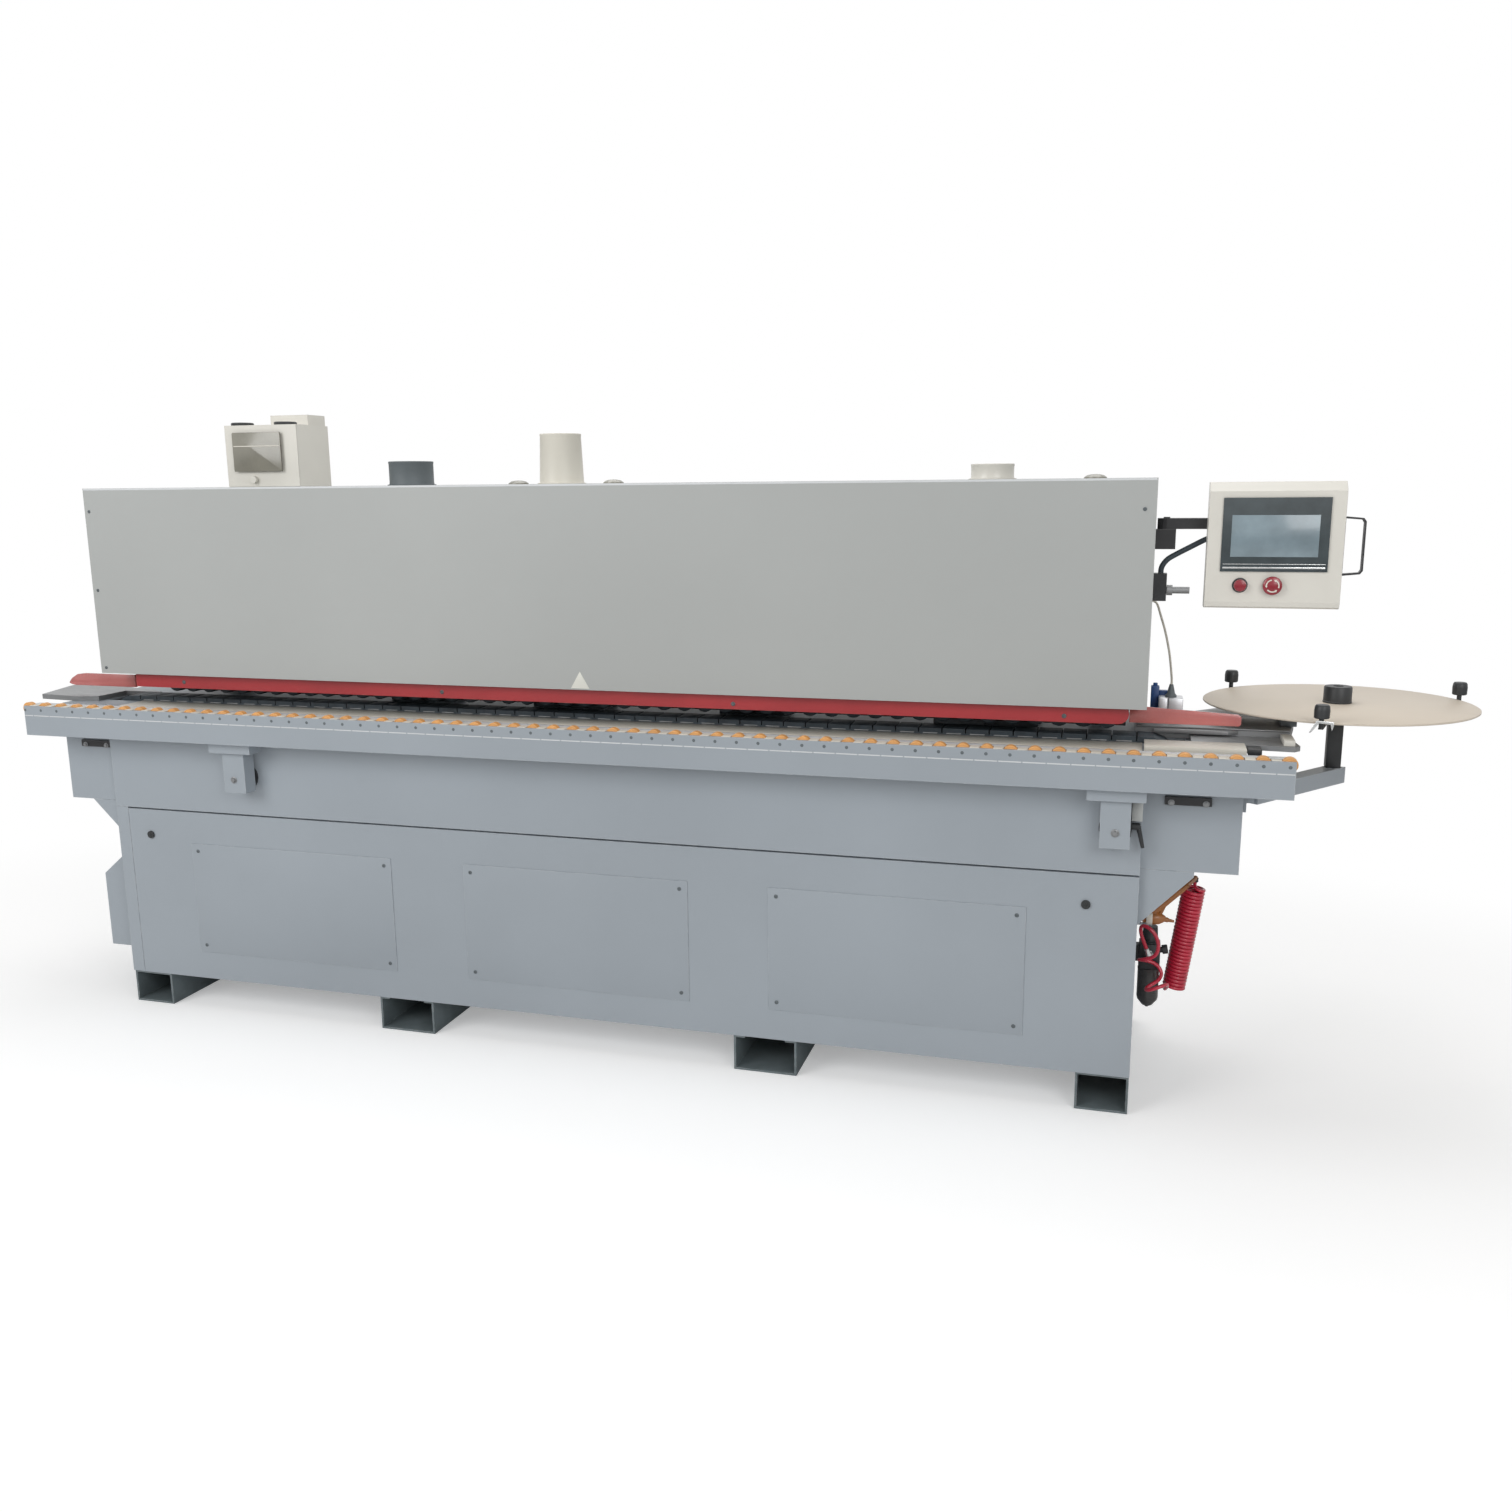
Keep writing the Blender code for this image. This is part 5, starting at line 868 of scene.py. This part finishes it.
# %% Cylinder and valve
X, Y, HALF = 1.59, 0.412, 0.0315
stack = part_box("infeed_cylinder")[0].z + 0.004
barrel_top = stack + 0.062
cylinder = piece("stop_cylinder", [
    block((X - HALF, Y - HALF, stack), (X - 0.008, Y + HALF, barrel_top), 0.003),
    block((X - 0.0065, Y - HALF, stack), (X + HALF, Y + HALF, barrel_top), 0.003)], "aluminium")
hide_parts("infeed_cylinder")
piece("cylinder_fitting", [turned([(0, 0), (0.015, 0), (0.015, 0.005), (0.0105, 0.01), (0.008, 0.022),
    (0.006, 0.03), (0.0048, 0.0345), (0, 0.0345)], (X, Y, barrel_top - 0.0002), steps=24)], "grey_plastic")
piece("air_valve", [
    block((1.538, 0.434, stack), (1.56, 0.462, stack + 0.086), 0.002),
    block((1.56, 0.438, stack), (1.582, 0.46, stack + 0.074), 0.002),
    rod((1.549, 0.448, stack + 0.084), (1.549, 0.448, stack + 0.094), 0.006)], "blue_plastic")

# %% [markdown]
# ## Tape tray
# The coil of edging lies on a round board that turns on a post. Its rim is slightly rounded, and the hub
# is a black moulded cap. Three guides with black knobs keep the coil in place. They stand just off the
# board, on arms under it, so they do not turn.

# %% Tray board and hub
TRAY = Vector((2.023, 0.518, 1.068))
board = turned([(0.0106, -0.006), (0.342, -0.006), (0.3445, -0.0045), (0.3445, -0.0015), (0.342, 0),
    (0.0106, 0)], TRAY, steps=128, ring=True)
tray = piece("tray_disc", [board], "tray_board", "tray")
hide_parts("tape_tray")
piece("tray_hub", [turned([(0.0106, 0), (0.0355, 0), (0.037, 0.0015), (0.037, 0.004), (0.0358, 0.005),
    (0.0358, 0.041), (0.0335, 0.0445), (0.014, 0.0445), (0.0115, 0.0405), (0, 0.0405), (0, 0.0315),
    (0.0106, 0.0315)], TRAY, steps=48, ring=True)], "black_plastic", "tray")

# %% [markdown]
# A black sleeve covers the post. Each rim guide is a knob on a stem, standing on a flat arm that reaches
# out from the post under the board; the front one also carries a small pointed pressing of bright steel.

# %% Post sleeve and rim guides
def outwards(angle):
    """The direction from the tray's middle at an angle in degrees."""
    return Vector((cos(radians(angle)), sin(radians(angle)), 0))


FRONT_GUIDE = -103
guide_parts = [block((TRAY.x - 0.0192, TRAY.y - 0.0192, 0.8894), (TRAY.x + 0.0192, TRAY.y + 0.0192, 1.0515),
                     0.0015)]
for angle, far in ((135, 0.362), (22.3, 0.3516), (FRONT_GUIDE, 0.362)):
    out = outwards(angle)
    across = Vector((-out.y, out.x, 0))
    corners = [TRAY + out * reach + across * side for reach, side in (
        (0.01, -0.009), (far + 0.007, -0.006), (far + 0.007, 0.006), (0.01, 0.009))]
    stem = TRAY + out * far
    guide_parts += [
        slab([(corner.x, corner.y) for corner in corners], "Z", 1.0525, 1.0565, 0.0006),
        rod((stem.x, stem.y, 1.0545), (stem.x, stem.y, 1.082), 0.006),
        turned([(0, 0), (0.0165, 0), (0.0185, 0.002), (0.019, 0.02), (0.0178, 0.03), (0.015, 0.034),
            (0, 0.0345)], (stem.x, stem.y, 1.08), steps=18)]
piece("tray_guides", guide_parts, "black_plastic")
front = TRAY + outwards(FRONT_GUIDE) * 0.358
pressing = [(-0.03, 1.046), (-0.026, 1.046), (-0.008, 1.07), (0.018, 1.068), (0.022, 1.052), (0.026, 1.064),
            (0.026, 1.074), (-0.014, 1.077)]
piece("guide_pressing", [slab([(front.x + x, z) for x, z in pressing], "Y", front.y - 0.0225, front.y - 0.0205,
                              0.0004)], "zinc")

# %% [markdown]
# ## Dust spigots and the roof
# Three spigots take the dust hoses: dark, tall and cream. A spigot is an open pipe with a rolled rim
# and a flange, so its profile is a ring of points, spun once round.

# %% Dust spigots
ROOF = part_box("hood_shell")[1].z


def spigot(name, node, wall, slot):
    """An open pipe with a flange and a rolled rim, in place of a packed one."""
    low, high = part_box(node)
    middle = (low + high) / 2 - DATUM
    radius = (high.x - low.x) / 2
    tall = high.z - low.z
    upper = radius if node != "tall_dust_port" else 0.06
    profile = [(radius - wall, 0), (radius + 0.006, 0), (radius + 0.006, 0.003), (radius + 0.0005, 0.004),
               (radius - 0.0005, 0.01), (upper - 0.0005, tall - 0.007), (upper + 0.0004, tall - 0.005),
               (upper + 0.0004, tall - 0.001), (upper - 0.001, tall), (upper - wall, tall - 0.0005)]
    made = piece(name, [turned(profile, (middle.x, middle.y, low.z), steps=64, ring=True)], slot)
    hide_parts(node)
    return made


spigot("dark_spigot", "grey_dust_port", 0.004, "grey_plastic")
spigot("tall_spigot", "tall_dust_port", 0.003, "white_plastic")
spigot("cream_spigot", "cream_dust_port", 0.004, "cream_paint")

# %% [markdown]
# Low domes cover the lifting points of the roof. The spray unit has two filler caps, and its door an olive
# window, whose corners are quarter circles, with a line at the fluid's level. A thin strip of painted
# highlight along the hood's top edge stands for the light on its folded sheet.

# %% Domes, filler caps and window
domes = [turned([(0, 0), (0.03, 0), (0.029, 0.004), (0.022, 0.009), (0.01, 0.0115), (0, 0.012)],
    (x, 0.3, ROOF), steps=28) for x in (-0.27, 0.029, 1.371)]
piece("roof_domes", domes, "black_plastic", look="fluid_window")
SPRAY_TOP = 1.851
caps = [turned([(0, 0), (0.033, 0), (0.034, 0.002), (0.034, 0.01), (0.031, 0.012), (0, 0.012)],
    (x, 0.33, SPRAY_TOP), steps=28) for x in (-1.2205, -1.0655)]
piece("filler_caps", caps, "black_plastic")


def rounded(left, right, foot, top, radius):
    """The outline of a plate with rounded corners."""
    outline = []
    for corner, (x, z) in enumerate(((right, top), (left, top), (left, foot), (right, foot))):
        inward = Vector((-1 if x == right else 1, -1 if z == top else 1))
        for step in range(5):
            angle = radians(90 * corner + 22.5 * step)
            outline.append((x + inward.x * radius + radius * cos(angle),
                z + inward.y * radius + radius * sin(angle)))
    return outline


LEFT, RIGHT = -1.1925, -1.0235
piece("spray_window", [slab(rounded(LEFT, RIGHT, 1.7125, 1.829, 0.004), "Y", 0.2355, 0.2385, 0.0004)],
      "grey_plastic", "spray_box_door", look="fluid_window")
piece("window_line", [block((LEFT + 0.004, 0.2347, 1.7865), (RIGHT - 0.004, 0.2356, 1.7895), 0)],
      "white_plastic", "spray_box_door")
hood_low, hood_high = (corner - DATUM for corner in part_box("hood_door"))
# Painted highlight: a thin light strip along the hood's top edge.
piece("hood_edge_highlight", [block((hood_low.x + 0.002, hood_low.y - 0.0002, hood_high.z - 0.006),
    (hood_high.x - 0.002, hood_low.y + 0.0004, hood_high.z - 0.0004), 0)], "hood_paint", "hood_door",
    look="painted_highlight")

# %% [markdown]
# ## Operator panel
# The panel is a folded housing with a touch screen, a push button and a mushroom stop button. The screen
# has its own pane inside a black bezel, with two bright lines below it. Both buttons sit in flat black
# collars.

# %% Screen pane, bezel and collars
PUSH_X, STOP_X, BUTTON_Z = 1.7265, 1.7995, 1.409
piece("screen_pane", [block((1.7, 0.0948, 1.477), (1.897, 0.0962, 1.576), 0.0003)], "screen_glass", "hmi",
      look="lit_film")
piece("bezel_line", [block((1.684, 0.0952, 1.449), (1.915, 0.0964, 1.453), 0.0003),
    block((1.684, 0.0952, 1.459), (1.915, 0.0964, 1.4605), 0.0003)], "zinc", "hmi")
collars = [
    turned([(radius * 0.56, 0), (radius + 0.003, 0), (radius + 0.003, 0.0006), (radius + 0.002, 0.0009),
        (radius * 0.56, 0.0009)], (x, 0.0999, BUTTON_Z), (0, -1, 0), 40, ring=True)
    for x, radius in ((PUSH_X, 0.015), (STOP_X, 0.0185))]
piece("button_collars", collars, "black_plastic", "hmi")

# %% [markdown]
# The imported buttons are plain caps. The lathe gives them their real mushroom shapes, and curved arrows,
# which are part of the control, lie on the stop button's face.

# %% Buttons
stop_front = face_of("estop_button")
stop = piece("stop_button", [turned([(0, 0.0006), (0.017, 0.0012), (0.0212, 0.0035), (0.0222, 0.0065),
    (0.0205, 0.0096), (0.015, 0.0104), (0.0076, 0.011), (0.0076, 0.029), (0, 0.029)],
    (STOP_X, stop_front, BUTTON_Z), (0, 1, 0), 48)], "red_plastic", "estop")
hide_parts("estop_button")
push = piece("push_button", [turned([(0, 0.0004), (0.0105, 0.0004), (0.0132, 0.0014), (0.0145, 0.004),
    (0.0145, 0.0112), (0.008, 0.0118), (0.008, 0.0275), (0, 0.0275)], (PUSH_X, face_of("start_button"),
    BUTTON_Z), (0, 1, 0), 40)], "red_plastic", "start_button")
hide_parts("start_button")


def curved_arrow(start):
    """A flat arrow bent round the stop button's middle from an angle, as an outline of plate."""
    inner, outer, span, points = 0.0128, 0.0158, radians(78), 9
    angles = [start + span * number / points for number in range(points + 1)]
    end, tip = angles[-1], start + span + radians(22)
    bend = [(outer, a) for a in angles]
    bend += [(outer + 0.002, end), (0.0143, tip), (inner - 0.002, end)]
    bend += [(inner, a) for a in reversed(angles)]
    return [(STOP_X + radius * cos(a), BUTTON_Z + radius * sin(a)) for radius, a in bend]


arrows = [slab(curved_arrow(radians(angle)), "Y", stop_front + 0.0002, stop_front + 0.0016, 0)
          for angle in (100, 220, 340)]
piece("stop_arrows", arrows, "white_plastic", "estop")

# %% [markdown]
# ## The end

# %% The end
print("all pieces built")
